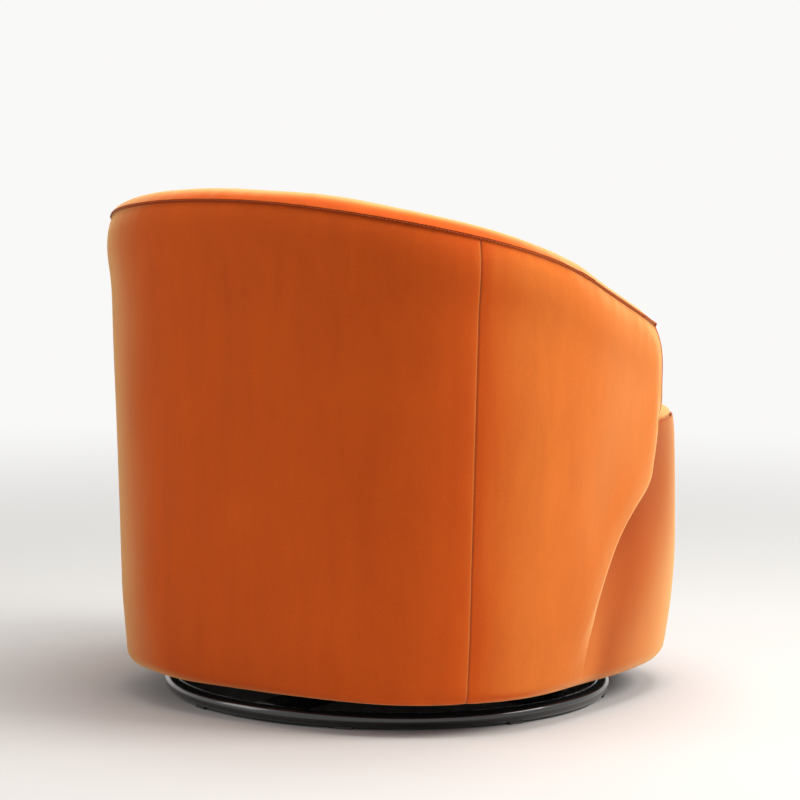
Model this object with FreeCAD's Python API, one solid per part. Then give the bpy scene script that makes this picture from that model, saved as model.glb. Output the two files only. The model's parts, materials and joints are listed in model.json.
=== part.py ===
import FreeCAD, Part
import os
from math import sin, cos, tan, radians, degrees, pi

# Swivel barrel chair, in millimetres.
# +Z is up, the sitter faces -Y, and the origin is the point on the floor under the swivel axis.
# Angles round the body run from the rear (0 degrees) towards the sitter's left, +X.

os.makedirs("parts", exist_ok=True)
V = FreeCAD.Vector
Z = V(0, 0, 1)

# Upholstered body: its plan near the floor, as a squared-off oval
half_width = 355.5
rear_depth = 346.5
front_depth = 372.0
rear_squareness = 2.65
front_squareness = 3.4

# Upholstered body: upright shape
hem_height = 45.0            # lowest edge of the covers above the floor
rear_rim_height = 718.0      # seam under the rim band, at the rear
arm_drop = 135.0             # how far that seam has come down beside the sitter
rim_power = 2.07             # how late it comes down
rim_knee = 85.0              # angle from which it falls straight
rim_fall = 2.55              # mm per degree beyond that angle
lean = 0.040                 # outward lean of the wall, per mm of height
lean_from = 130.0            # height at which the plan is measured
lip_bulge = 4.5              # padding that swells out under the rim
lip_depth = 45.0
lip_reach = 35.0
shoulder_in = 4.5            # how far the wall comes in again at the rim seam
shoulder_height = 30.0
hem_tuck = 0.045             # extra inward slope towards the hem
hem_tuck_height = 137.0
hem_round = 8.0
hem_round_height = 15.0
front_belly = 6.4            # how far the front swells beyond the plan
front_belly_height = 230.0
front_belly_fall = 0.00046   # curvature below the fullest height
front_belly_rise = 0.00031   # curvature above it
seam_angle = 50.0            # seams between the back cover and the side covers

# Arms and rim
wall_thickness = 75.0
crown_height = 15.0
crown_power = 3.2
inner_shoulder = 3.0
arm_setback = 212.0          # from the front of the seat to the front face of the arms
arm_front_slope = 11.0       # degrees from upright
arm_round_drop = 218.0       # start of that face's rounded top, below the rear rim
arm_round_back = 61.0        # how far that rounding runs back, and up
arm_round_up = 72.0
arm_thickness = 89.5         # at the seat
back_thickness = 164.5       # at the seat
wedge_rise = 4.0             # above the seat seam, where both are thickest
wedge_drop = 10.0            # below the rim seam, where they start to thicken

# Layers of the wall, from outside to inside
cover = 2.0
layer_gap = 0.4
wadding_gap = 1.2            # the wadding is pressed clear of the covers
seam_gap = 0.8               # between the edges of two covers that are sewn together
seat_gap = 3.4               # between the seat and the covers beside and behind it
wadding_depth = 11.2
board = 3.0
post_depth = 26.0
post_width = 22.0
webbing_thickness = 1.5
rim_foam_height = 22.0
rim_rail_height = 18.0
arm_pad = 16.0
arm_board = 15.0
tack_rail_depth = 18.0
webbing_width = 50.0
webbing_pitch = 85.0
webbing_drop = 148.0         # lower edge of the highest band, below the rear rim

# Seat
sitting_squareness = 2.5
arm_straightness = 5.0
seat_seam_height = 396.0
seat_crown = 28.0
seat_roll = 110.0            # width of the crown's rounding along the edges
ear_share = .7                # how far the seat's ears draw in behind, as a share of the roll
deck_height = 300.0
spring_wire = 3.5
felt = 3.0
felt_clearance = 1.0
rail = 20.0
side_rail_inset = 150.5      # from the wall's plan to the inner face of each rail
front_rail_inset = 72.0
rear_rail_inset = 141.5
spacer_pitch = 150.0
front_board_inset = 26.0
front_board = 4.0
corner_block = 40.0
corner_block_height = 120.0

# Plywood base plate and the lining under it
plate_thickness = 18.0
plate_inset = 17.2
swivel_beam = 300.0          # width of the solid middle that the swivel is bolted to
plate_rim = 62.0             # width of the plate left round its two openings
lining = 1.0
lining_inset = 30.0
lining_clearance = 3.0

# Ring base
ring_radius = 311.0
ring_tube = 22.0
ring_wall = 1.5
glide_thickness = 2.0
glide_length = 22.0
glide_width = 12.0
glide_count = 8
bar_width = 30.0
bar_height = 20.0
bar_wall = 1.5
hub_plate = 180.0
hub_plate_thickness = 3.5
hub_hole = 22.0

# Swivel bearing
swivel_plate = 160.0
swivel_plate_thickness = 3.0
bearing_height = 20.0
race_radius = 55.0
race_width = 16.0
race_height = 6.0
ball = 10.0
ball_count = 20
ball_clearance = 0.05
cage_thickness = 1.2
cage_width = 13.0
cage_pocket_clearance = 0.15
rivet_shank = 10.0
rivet_clearance = 0.05
rivet_flange = 16.0
rivet_flange_height = 2.7
rivet_gap = 0.5
rivet_head = 15.0
rivet_head_height = 3.0
rivet_hole_clearance = 5.0
bolt_offset = 65.0
lower_bolt = 8.0
upper_bolt = 6.0
bolt_hole_clearance = 0.3
bolt_end = 2.0               # length of a bolt beyond its nut
tee_barrel = 4.5
tee_flange = 9.0
tee_flange_height = 1.5
tee_depth = 11.0

# Heights that follow from the sizes above
ring_middle = glide_thickness + ring_tube / 2
ring_top = glide_thickness + ring_tube
bar_top = ring_top
hub_top = bar_top + hub_plate_thickness
lower_plate_top = hub_top + swivel_plate_thickness
bearing_middle = hub_top + bearing_height / 2
upper_plate_bottom = hub_top + bearing_height - swivel_plate_thickness
plate_bottom = hub_top + bearing_height
plate_top = plate_bottom + plate_thickness
felt_bottom = deck_height + 1.7 * spring_wire
felt_top = felt_bottom + felt
cushion_bottom = felt_top + layer_gap
wedge_foot = seat_seam_height + wedge_rise
arm_round_from = rear_rim_height - arm_round_drop

# Places that follow from them
arm_front_y = arm_setback - front_depth
sitting_half_width = half_width - arm_thickness
sitting_rear_depth = rear_depth - back_thickness
rail_half_span = half_width - side_rail_inset
front_rail_y = front_rail_inset - front_depth
rear_rail_y = rear_depth - rear_rail_inset
beyond = 2 * (half_width + front_depth)      # longer than any piece, for the cutting shapes

# Depths from the outer face of the wall
wadding_in = cover + layer_gap + wadding_depth
board_out = wadding_in + 2 * layer_gap
board_in = board_out + board
post_out = board_in + layer_gap
post_in = post_out + post_depth
webbing_out = post_in + layer_gap
webbing_in = webbing_out + webbing_thickness
foam_out = webbing_in + layer_gap
tack_rail_in = webbing_out + tack_rail_depth


def rounded_power(angle, width, depth, squareness):
    across = abs(sin(angle)) / width
    along = abs(cos(angle)) / depth
    return (across ** squareness + along ** squareness) ** (-1 / squareness)


# Plan radius of the body at an angle from the rear
def plan(phi):
    angle = radians(phi)
    if cos(angle) > 0:
        return rounded_power(angle, half_width, rear_depth, rear_squareness)
    return rounded_power(angle, half_width, front_depth, front_squareness)


# Plan radius of the place to sit, at the seat
def sitting_plan(phi):
    angle = radians(phi)
    if cos(angle) > 0:
        return rounded_power(angle, sitting_half_width, sitting_rear_depth, sitting_squareness)
    return rounded_power(angle, sitting_half_width, 2 * front_depth, arm_straightness)


# Height of the seam under the rim band
def rim(phi):
    turned = min(abs(phi), rim_knee)
    past = max(0, abs(phi) - rim_knee)
    return rear_rim_height - arm_drop * (turned / 90) ** rim_power - rim_fall * past


# Straight leaning line of the wall, without its padding
def wall_line(phi, z):
    return plan(phi) + lean * (z - lean_from)


def hem(z):
    tuck = hem_tuck * max(0, hem_tuck_height - z)
    turn = hem_round * (max(0, hem_height + hem_round_height - z) / hem_round_height) ** 2
    return tuck + turn


# Outer face of the outer covers
def outer_line(phi, z):
    below = rim(phi) - z
    lip = lip_bulge * 2 ** (-((below - lip_depth) / lip_reach) ** 2 * 1.44)
    shoulder = shoulder_in * max(0, 1 - below / shoulder_height) ** 2
    return wall_line(phi, z) + lip - shoulder - hem(z)


# Face of the back and the arms that the sitter leans on
def inner_line(phi, z):
    top = rim(phi) - wedge_drop
    share = sin(pi / 2 * min(1, max(0, (top - z) / (top - wedge_foot))))
    below = rim(phi) - z
    shoulder = inner_shoulder * max(0, 1 - below / shoulder_height) ** 2
    return (1 - share) * (wall_line(phi, z) - wall_thickness + shoulder) + share * sitting_plan(phi)


# Outer face of the front cover, which has a belly
def front_line(phi, z):
    away = z - front_belly_height
    fall = front_belly_rise if away > 0 else front_belly_fall
    turn = hem_round * (max(0, hem_height + hem_round_height - z) / hem_round_height) ** 2
    return plan(phi) + front_belly - fall * away ** 2 - turn


def at(phi, radius, z):
    angle = radians(phi)
    return V(radius * sin(angle), radius * cos(angle), z)


def spaced(low, high, count):
    return [low + (high - low) * i / (count - 1) for i in range(count)]


def spline(points, knots=None):
    if len(points) == 2:
        return Part.LineSegment(points[0], points[1]).toShape()
    curve = Part.BSplineCurve()
    if knots:
        curve.interpolate(Points=points, Parameters=knots)
    else:
        curve.interpolate(points)
    return curve.toShape()


def chord_knots(points):
    run = [0.0]
    for a, b in zip(points, points[1:]):
        run.append(run[-1] + a.distanceToPoint(b))
    return [r / run[-1] for r in run]


def save(name, shape):
    if not shape.isValid():
        print("not valid:", name)
    shape.exportStep("parts/" + name + ".step")
    print(name, len(shape.Solids), "solids", round(shape.Volume / 1000, 1), "cm3")


def save_pair(name, shape):
    save(name + "_left", shape)
    save(name + "_right", shape.mirror(V(0, 0, 0), V(1, 0, 0)))


# Solid between upright sections. sides(phi) gives the section as lists of (radius, height),
# one list for each side, each starting where the last one ends.
def sweep(phi_from, phi_to, sides, step=10.0):
    count = max(2, int(round(abs(phi_to - phi_from) / step)) + 1)
    wires = []
    knots = None
    for phi in spaced(phi_from, phi_to, count):
        points = [[at(phi, r, z) for r, z in side] for side in sides(phi)]
        if knots is None:
            knots = [chord_knots(side) for side in points]
        wires.append(Part.Wire([spline(side, k) for side, k in zip(points, knots)]))
    return Part.makeLoft(wires, True, False)


# Levels for the faces, close together where the padding swells out and at the hem
def lip_heights(low, high):
    span = min(3 * lip_depth, 0.85 * (high - low))
    return [high - span * share for share in (1, 0.82, 0.67, 0.53, 0.43, 0.33, 0.25, 0.16, 0.07, 0)]


def hem_heights(low):
    return [low, low + 0.5 * hem_round_height, low + 1.3 * hem_round_height]


def cover_heights(low, high):
    lip = lip_heights(low, high)
    return hem_heights(low) + spaced(low + 4 * hem_round_height, lip[0], 4)[:-1] + lip


def arm_heights(low, high):
    lip = lip_heights(low, high)
    return spaced(low, lip[0], 3)[:-1] + lip


def sewn_edge(phi):
    return rim(phi) - seam_gap


# One layer of the wall between two face lines
def layer(phi_from, phi_to, outside, inside, low, high, heights=None, step=10.0):
    def sides(phi):
        bottom = low(phi) if callable(low) else low
        top = high(phi) if callable(high) else high
        levels = heights(bottom, top) if heights else [bottom, top]
        out = [(outside(phi, z), z) for z in levels]
        back = [(inside(phi, z), z) for z in reversed(levels)]
        return [out, [out[-1], back[0]], back, [back[-1], out[0]]]
    return sweep(phi_from, phi_to, sides, step)


def inset(line, depth):
    return lambda phi, z: line(phi, z) - depth


def below_rim(drop):
    return lambda phi: rim(phi) - drop


def box(x0, x1, y0, y1, z0, z1):
    return Part.makeBox(x1 - x0, y1 - y0, z1 - z0, V(x0, y0, z0))


# Flat slab with the plan of the body
def plan_face(depth, z):
    points = [at(phi, plan(phi) - depth, z) for phi in spaced(0, 352, 45)]
    curve = Part.BSplineCurve()
    curve.interpolate(Points=points, PeriodicFlag=True)
    return Part.Face(Part.Wire(curve.toShape()))


def plan_slab(depth, low, high):
    return plan_face(depth, low).extrude(Z * (high - low))


# Everything in front of the arms' front faces, moved back by a setback
def front_block(setback):
    y = arm_front_y + setback
    foot = V(-beyond, y, wedge_foot)
    turn = V(-beyond, y + (arm_round_from - wedge_foot) * tan(radians(arm_front_slope)), arm_round_from)
    over = turn + V(0, arm_round_back, arm_round_up)
    middle = turn + V(0, 0.31 * arm_round_back, 0.56 * arm_round_up)
    top = over + V(0, 2 * arm_drop, arm_drop)
    outline = [Part.makePolygon([top, V(-beyond, -beyond, top.z), V(-beyond, -beyond, 0),
                                 V(-beyond, y, 0), foot, turn]),
               Part.Arc(turn, middle, over).toShape(), Part.makePolygon([over, top])]
    edges = [edge for shape in outline for edge in shape.Edges]
    return Part.Face(Part.Wire(edges)).extrude(V(2 * beyond, 0, 0))


arm_reach = 124.0            # the arms are made past their front face, then trimmed
arm_board_start = 95.0

# Outer covers
back_cover = layer(-seam_angle, seam_angle, outer_line, inset(outer_line, cover),
                   hem_height, sewn_edge, cover_heights)
save("back_cover", back_cover)

side_cover = layer(seam_angle, arm_reach, outer_line, inset(outer_line, cover),
                   hem_height, sewn_edge, cover_heights).cut(front_block(0))
save_pair("side_cover", side_cover)


# Crowned top between the outer and the inner rim seam, at a depth under the band's face
def crown(phi, depth, count=9):
    out = outer_line(phi, rim(phi)) - depth
    back = inner_line(phi, rim(phi)) + depth
    tall = crown_height - depth
    return [(out + (back - out) * t, rim(phi) + tall * (1 - abs(2 * t - 1) ** crown_power))
            for t in spaced(0, 1, count)]


def band_sides(phi):
    top = crown(phi, 0)
    under = crown(phi, cover)
    return [top, [top[-1], under[-1]], under[::-1], [under[0], top[0]]]


def rim_foam_sides(phi):
    top = crown(phi, cover + layer_gap)
    levels = spaced(rim(phi) - rim_foam_height, rim(phi), 3)
    out = [(outer_line(phi, z) - cover - layer_gap, z) for z in levels]
    back = [(inner_line(phi, z) + cover + layer_gap, z) for z in levels][::-1]
    return [out, top, back, [back[-1], out[0]]]


save("rim_band_cover", sweep(-arm_reach, arm_reach, band_sides).cut(front_block(cover)))
save("rim_foam", sweep(-arm_reach, arm_reach, rim_foam_sides).cut(front_block(arm_pad + cover)))

# Inner covers and the cushions behind them
def inner_heights(low, high):
    return spaced(low, wedge_foot, 3) + spaced(wedge_foot, high, 7)[1:]


inner_back = layer(-seam_angle, seam_angle, inset(inner_line, -cover), inner_line,
                   cushion_bottom, sewn_edge, inner_heights)
save("inner_back_cover", inner_back)
inner_arm = layer(seam_angle, arm_reach, inset(inner_line, -cover), inner_line,
                  cushion_bottom, sewn_edge, inner_heights).cut(front_block(cover))
save_pair("inner_arm_cover", inner_arm)

foam_face = inset(inner_line, -cover - layer_gap)
foam_top = below_rim(rim_foam_height + 2 * layer_gap)
save("back_foam", layer(-seam_angle, seam_angle, inset(wall_line, foam_out), foam_face,
                        cushion_bottom, foam_top, inner_heights))
arm_foam = layer(seam_angle, arm_reach, inset(wall_line, foam_out), foam_face,
                 cushion_bottom, foam_top, inner_heights)
save_pair("arm_foam", arm_foam.cut(front_block(arm_pad + cover + arm_board)))

# Wadding between the covers and the outer boards
wadding = layer(-arm_reach, arm_reach, inset(outer_line, cover + wadding_gap),
                inset(wall_line, wadding_in), plate_top + layer_gap, foam_top, cover_heights)
save("outer_wadding", wadding.cut(front_block(arm_pad + cover)))

# Outer boards, posts and rails of the frame
outer_board = layer(-seam_angle, seam_angle, inset(wall_line, board_out), inset(wall_line, board_in),
                    plate_top, foam_top)
save("outer_board_back", outer_board)
outer_board = layer(seam_angle, arm_reach, inset(wall_line, board_out), inset(wall_line, board_in),
                    plate_top, foam_top)
save_pair("outer_board", outer_board.cut(front_block(arm_pad + cover)))

rail_top = foam_top
rail_bottom = below_rim(rim_foam_height + 2 * layer_gap + rim_rail_height)
post_face = inset(wall_line, post_out)
post_back = inset(wall_line, post_in)
save("rim_rail_back", layer(-seam_angle, seam_angle, post_face, post_back, rail_bottom, rail_top))
rim_rail = layer(seam_angle, arm_reach, post_face, post_back, rail_bottom, rail_top)
save_pair("rim_rail", rim_rail.cut(front_block(arm_pad + cover + arm_board)))


def post(phi):
    half = degrees(post_width / 2 / (plan(phi) - post_in))
    top = lambda angle: rail_bottom(angle) - layer_gap / 4
    return layer(phi - half, phi + half, post_face, post_back, plate_top, top)


save("back_post_centre", post(0))
save_pair("back_post", post(34))
save_pair("side_post", post(70))

tack_reach = 106.0
tack_rail = layer(-tack_reach, tack_reach, inset(wall_line, webbing_out), inset(wall_line, tack_rail_in),
                  felt_top - 2 * rail, felt_top)
save("tack_rail", tack_rail)

webbing = []
for i, reach in enumerate((46, 72, 92)):
    low = rear_rim_height - webbing_drop - i * webbing_pitch
    webbing.append(layer(-reach, reach, inset(wall_line, webbing_out), inset(wall_line, webbing_in),
                         low, low + webbing_width))
save("back_webbing", Part.makeCompound(webbing))


# Front ends of the arms: a board in the frame, a pad on it and a cover over both
def full_arm_sides(depth):
    def sides(phi):
        top = crown(phi, depth)
        out = [(outer_line(phi, z) - depth, z) for z in arm_heights(cushion_bottom, rim(phi))]
        back = [(inner_line(phi, z) + depth, z) for z in inner_heights(cushion_bottom, rim(phi))[::-1]]
        return [out, top, back, [back[-1], out[0]]]
    return sides


def slab(front, back):
    return front_block(back).cut(front_block(front))


arm_cover_block = sweep(seam_angle, arm_reach, full_arm_sides(cover + seam_gap))
save_pair("arm_front_cover", arm_cover_block.common(slab(0, cover)))
arm_pad_block = sweep(seam_angle, arm_reach, full_arm_sides(cover + 2 * layer_gap))
save_pair("arm_front_pad", arm_pad_block.common(slab(cover, cover + arm_pad)))
arm_board_back = inset(wall_line, wall_thickness - cover - layer_gap)
arm_board_block = layer(arm_board_start, arm_reach, post_face, arm_board_back, plate_top, foam_top, None, 5)
save_pair("arm_front_board", arm_board_block.common(slab(cover + arm_pad, cover + arm_pad + arm_board)))


# Front cover, its pad and the bent board behind it
def front_heights(low, high):
    return hem_heights(low) + spaced(low + 4 * hem_round_height, high, 6)


rear_of_front = box(-beyond, beyond, arm_front_y - layer_gap, beyond, 0, beyond)
front_cover = layer(108, 252, front_line, inset(front_line, cover),
                    hem_height, seat_seam_height, front_heights, 8)
save("front_cover", front_cover.cut(rear_of_front))
board_line = lambda phi, z: plan(phi) - front_board_inset
front_pad = layer(108, 252, inset(front_line, cover + 2 * layer_gap), inset(board_line, -2 * layer_gap),
                  plate_top + layer_gap, felt_top, lambda low, high: spaced(low, high, 6), 8)
save("front_pad", front_pad.cut(rear_of_front))
front_panel = plan_slab(front_board_inset, plate_top, felt_top)
front_panel = front_panel.cut(plan_slab(front_board_inset + front_board, plate_top, felt_top))
save("front_board", front_panel.cut(rear_of_front))


# Seat cushion: the part between the arms follows the inner covers, and the part
# in front of the arms is as wide as the whole chair
def angle_at_y(line, z, y):
    low, high = 91.0, 150.0
    for _ in range(40):
        middle = (low + high) / 2
        if line(middle, z) * cos(radians(middle)) > y:
            low = middle
        else:
            high = middle
    return (low + high) / 2


back_knots = spaced(0, 1, 27)
face_knots = spaced(0, 1, 17)


def seat_outline(depth, z):
    rear = inset(inner_line, depth + seat_gap)
    front = inset(front_line, depth)
    y = arm_front_y - layer_gap - depth * ear_share
    level = min(z, seat_seam_height)
    inner_end = angle_at_y(rear, level, y)
    outer_end = angle_at_y(front, level, y)
    back = [at(phi, rear(phi, level), z) for phi in spaced(-inner_end, inner_end, len(back_knots))]
    face = [at(phi, front(phi, level), z) for phi in spaced(outer_end, 360 - outer_end, len(face_knots))]
    return Part.Wire([spline(back, back_knots), spline([back[-1], face[0]]),
                      spline(face, face_knots), spline([face[-1], back[0]])])


def seat_wires(depth, low):
    rises = [(0, 0), (0.45, 0.05), (0.75, 0.18), (0.93, 0.5), (1, 1)]
    wires = [seat_outline(depth, low)]
    for share, sink in rises:
        height = seat_seam_height + share * (seat_crown - depth)
        wires.append(seat_outline(depth + sink * seat_roll, height))
    return wires


seat_cover_low = seat_seam_height - seam_gap
outer_wires = seat_wires(0, seat_cover_low)
inner_wires = seat_wires(cover, seat_cover_low)
faces = [Part.Face([outer_wires[0], inner_wires[0]])]
for wires in (outer_wires, inner_wires):
    faces += Part.makeLoft(wires, False, True).Faces
    faces.append(Part.Face(wires[-1]))
seat_cover = Part.makeSolid(Part.makeShell(faces))
seat_cover.fix(layer_gap, seam_gap / 100, seam_gap)
save("seat_cover", seat_cover)
save("seat_foam", Part.makeLoft(seat_wires(cover + layer_gap, cushion_bottom), True, True))


# Base plate with an opening each side of the swivel beam, and the lining under it
corners = [(sx * bolt_offset, sy * bolt_offset) for sx in (-1, 1) for sy in (-1, 1)]


def cylinders(places, radius, low, high):
    return [Part.makeCylinder(radius, high - low, V(x, y, low)) for x, y in places]


def cut_all(shape, tools):
    for tool in tools:
        shape = shape.cut(tool)
    return shape


base_plate = plan_slab(plate_inset, plate_bottom, plate_top)
opening = plan_slab(plate_inset + plate_rim, plate_bottom, plate_top)
opening = opening.cut(box(-swivel_beam / 2, swivel_beam / 2, -beyond, beyond, 0, beyond))
base_plate = base_plate.cut(opening)
base_plate = cut_all(base_plate, cylinders(corners, tee_barrel, 0, deck_height))
base_plate = cut_all(base_plate, cylinders([(0, 0)], rivet_head + rivet_hole_clearance, 0, deck_height))
save("base_plate", base_plate)

lining_hole = swivel_plate / 2 + lining_clearance
lining_sheet = plan_slab(lining_inset, plate_bottom - lining, plate_bottom)
lining_sheet = lining_sheet.cut(box(-lining_hole, lining_hole, -lining_hole, lining_hole, 0, deck_height))
save("bottom_lining", lining_sheet)

# Seat box: rails on edge, glue blocks in its corners and spacers behind the front board
front_rail_back = front_rail_y + rail
rail_end = rail_half_span + rail
save("seat_rail_front", box(-rail_end, rail_end, front_rail_y, front_rail_back, plate_top, deck_height))
save("seat_rail_rear", box(-rail_end, rail_end, rear_rail_y, rear_rail_y + rail, plate_top, deck_height))
side_rail = box(rail_half_span, rail_end, front_rail_back, rear_rail_y, plate_top, deck_height)
save_pair("seat_rail", side_rail)


def glue_block(x, y, sx, sy):
    points = [V(x, y, plate_top), V(x - sx * corner_block, y, plate_top),
              V(x, y + sy * corner_block, plate_top), V(x, y, plate_top)]
    return Part.Face(Part.makePolygon(points)).extrude(Z * corner_block_height)


blocks = [glue_block(s * rail_half_span, front_rail_back, s, 1) for s in (-1, 1)]
blocks += [glue_block(s * rail_half_span, rear_rail_y, s, -1) for s in (-1, 1)]
behind_board = plan_slab(front_board_inset + front_board, plate_top, deck_height)
for i in (-1, 0, 1):
    spacer = box(i * spacer_pitch - rail / 2, i * spacer_pitch + rail / 2, -front_depth, front_rail_y,
                 plate_top, deck_height)
    blocks.append(spacer.common(behind_board))
save("frame_blocks", Part.makeCompound(blocks))

# Zigzag springs from the front rail to the rear rail, in clips
spring_count = 4
spring_pitch = 90.0
zigzag_half = 24.0
zigzag_turn = 11.0
spring_z = deck_height + spring_wire
spring_places = [(i - (spring_count - 1) / 2) * spring_pitch for i in range(spring_count)]
spring_front = front_rail_y + rail / 2
spring_rear = rear_rail_y + rail / 2


def zigzag(x):
    turns = int((spring_rear - spring_front) / (2 * zigzag_turn))
    start = spring_front + ((spring_rear - spring_front) - turns * 2 * zigzag_turn) / 2
    edges = []
    side = 1
    for i in range(turns):
        y = start + i * 2 * zigzag_turn
        reach = zigzag_half - zigzag_turn
        low = V(x + side * reach, y, spring_z)
        tip = V(x + side * zigzag_half, y + zigzag_turn, spring_z)
        high = V(x + side * reach, y + 2 * zigzag_turn, spring_z)
        edges.append(Part.Arc(low, tip, high).toShape())
        if i < turns - 1:
            edges.append(Part.LineSegment(high, high - V(2 * side * reach, 0, 0)).toShape())
        side = -side
    path = Part.Wire(edges)
    circle = Part.Wire(Part.makeCircle(spring_wire / 2, edges[0].valueAt(0), V(1, 0, 0)))
    return path.makePipeShell([circle], True, False)


save("seat_springs", Part.makeCompound([zigzag(x) for x in spring_places]))

clip_half = 14.0
clip_depth = 6.0
clip_height = 2.0
clip_margin = 2.0
clips = []
for x in spring_places:
    for y in (front_rail_y + clip_margin, rear_rail_y + rail - clip_margin - clip_depth):
        clips.append(box(x - clip_half, x + clip_half, y, y + clip_depth,
                         deck_height, deck_height + clip_height))
save("spring_clips", Part.makeCompound(clips))

felt_sheet = plan_slab(wall_thickness + felt_clearance, felt_bottom, felt_top)
save("spring_felt", felt_sheet.common(box(-beyond, beyond, front_rail_y, beyond, 0, beyond)))

# Ring base: round tube, crossed bars coped to it, plate in the middle and glides underneath
ring_solid = Part.makeTorus(ring_radius, ring_tube / 2, V(0, 0, ring_middle))
ring_bore = Part.makeTorus(ring_radius, ring_tube / 2 - ring_wall, V(0, 0, ring_middle))


def bar(length_from, length_to):
    low = bar_top - bar_height
    outer = box(-bar_width / 2, bar_width / 2, length_from, length_to, low, bar_top)
    hollow = box(-bar_width / 2 + bar_wall, bar_width / 2 - bar_wall, length_from, length_to,
                 low + bar_wall, bar_top - bar_wall)
    return outer.cut(hollow).cut(ring_solid)


def largest(shape):
    return max(shape.Solids, key=lambda solid: solid.Volume)


save("base_ring", ring_solid.cut(ring_bore))
long_bar = largest(bar(-ring_radius, ring_radius))
save("cross_bar_long", long_bar)
half_bar = largest(bar(bar_width / 2, ring_radius))
short_bars = [half_bar.rotated(V(0, 0, 0), Z, turn) for turn in (90, -90)]
save("cross_bar_halves", Part.makeCompound(short_bars))

hub = box(-hub_plate / 2, hub_plate / 2, -hub_plate / 2, hub_plate / 2, bar_top, hub_top)
lower_hole = lower_bolt / 2 + bolt_hole_clearance
upper_hole = upper_bolt / 2 + bolt_hole_clearance
hub = cut_all(hub, cylinders(corners, lower_hole, 0, plate_top) + cylinders([(0, 0)], hub_hole, 0, plate_top))
save("hub_plate", hub)

glide = box(-glide_width / 2, glide_width / 2, -glide_length / 2, glide_length / 2,
            0, glide_thickness + ring_tube / 4)
glide = glide.translated(V(ring_radius, 0, 0)).cut(ring_solid)
glides = [glide.rotated(V(0, 0, 0), Z, (i + 0.5) * 360 / glide_count) for i in range(glide_count)]
save("floor_glides", Part.makeCompound(glides))


# Swivel bearing: two plates with ball races, balls in a cage, and a pivot rivet
def race(low, high):
    outer = Part.makeCylinder(race_radius + race_width / 2, high - low, V(0, 0, low))
    inner = Part.makeCylinder(race_radius - race_width / 2, high - low, V(0, 0, low))
    groove = Part.makeTorus(race_radius, ball / 2 + ball_clearance, V(0, 0, bearing_middle))
    return outer.cut(inner).cut(groove)


def square_plate(low, high):
    half = swivel_plate / 2
    return box(-half, half, -half, half, low, high)


lower_race = race(lower_plate_top, lower_plate_top + race_height)
lower_plate = square_plate(hub_top, lower_plate_top).fuse(lower_race)
lower_plate = cut_all(lower_plate, cylinders(corners, lower_hole, 0, plate_top))
lower_plate = cut_all(lower_plate, cylinders([(0, 0)], rivet_shank + rivet_clearance, 0, plate_top))
save("swivel_plate_lower", lower_plate)

upper_race = race(upper_plate_bottom - race_height, upper_plate_bottom)
upper_plate = square_plate(upper_plate_bottom, plate_bottom).fuse(upper_race)
upper_plate = cut_all(upper_plate, cylinders(corners, upper_hole, 0, plate_top))
upper_plate = cut_all(upper_plate, cylinders([(0, 0)], rivet_shank, 0, plate_top))
save("swivel_plate_upper", upper_plate)

ball_places = []
for i in range(ball_count):
    angle = 2 * pi * i / ball_count
    ball_places.append((race_radius * cos(angle), race_radius * sin(angle)))
balls = [Part.makeSphere(ball / 2, V(x, y, bearing_middle)) for x, y in ball_places]
save("bearing_balls", Part.makeCompound(balls))

cage_low = bearing_middle - cage_thickness / 2
cage = Part.makeCylinder(race_radius + cage_width / 2, cage_thickness, V(0, 0, cage_low))
cage = cage.cut(Part.makeCylinder(race_radius - cage_width / 2, cage_thickness, V(0, 0, cage_low)))
cage = cut_all(cage, cylinders(ball_places, ball / 2 + cage_pocket_clearance, 0, plate_top))
save("ball_cage", cage)

flange_top = hub_top - rivet_gap
rivet = Part.makeCylinder(rivet_flange, rivet_flange_height, V(0, 0, flange_top - rivet_flange_height))
rivet = rivet.fuse(Part.makeCylinder(rivet_shank, plate_bottom - flange_top, V(0, 0, flange_top)))
rivet = rivet.fuse(Part.makeCylinder(rivet_head, rivet_head_height, V(0, 0, plate_bottom)))
save("pivot_rivet", rivet.removeSplitter())


def hexagon(across, height, x, y, z):
    radius = across / 2 / cos(pi / 6)
    points = [V(x + radius * cos(i * pi / 3), y + radius * sin(i * pi / 3), z) for i in range(7)]
    return Part.Face(Part.makePolygon(points)).extrude(Z * height)


lower_head = 0.65 * lower_bolt
lower_nut = 0.8 * lower_bolt
lower_bolts = []
lower_nuts = []
for x, y in corners:
    shank_low = bar_top - lower_nut - bolt_end
    shank = Part.makeCylinder(lower_bolt / 2, lower_plate_top - shank_low, V(x, y, shank_low))
    lower_bolts.append(shank.fuse(hexagon(1.6 * lower_bolt, lower_head, x, y, lower_plate_top)))
    nut = hexagon(1.6 * lower_bolt, lower_nut, x, y, bar_top - lower_nut)
    lower_nuts.append(nut.cut(shank))
save("swivel_bolts_lower", Part.makeCompound(lower_bolts))
save("swivel_nuts_lower", Part.makeCompound(lower_nuts))

upper_head = 0.6 * upper_bolt
upper_bolts = []
tee_nuts = []
for x, y in corners:
    shank = Part.makeCylinder(upper_bolt / 2, plate_top - upper_plate_bottom, V(x, y, upper_plate_bottom))
    head = Part.makeCylinder(upper_bolt, upper_head, V(x, y, upper_plate_bottom - upper_head))
    upper_bolts.append(shank.fuse(head))
    tee = Part.makeCylinder(tee_barrel, tee_depth, V(x, y, plate_top - tee_depth))
    tee = tee.fuse(Part.makeCylinder(tee_flange, tee_flange_height, V(x, y, plate_top)))
    tee_nuts.append(tee.cut(Part.makeCylinder(upper_bolt / 2, deck_height, V(x, y, 0))))
save("swivel_bolts_upper", Part.makeCompound(upper_bolts))
save("tee_nuts", Part.makeCompound(tee_nuts))
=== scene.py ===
import json
import math
import bpy
import numpy as np
from mathutils import Matrix, Vector
from mathutils.kdtree import KDTree


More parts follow.
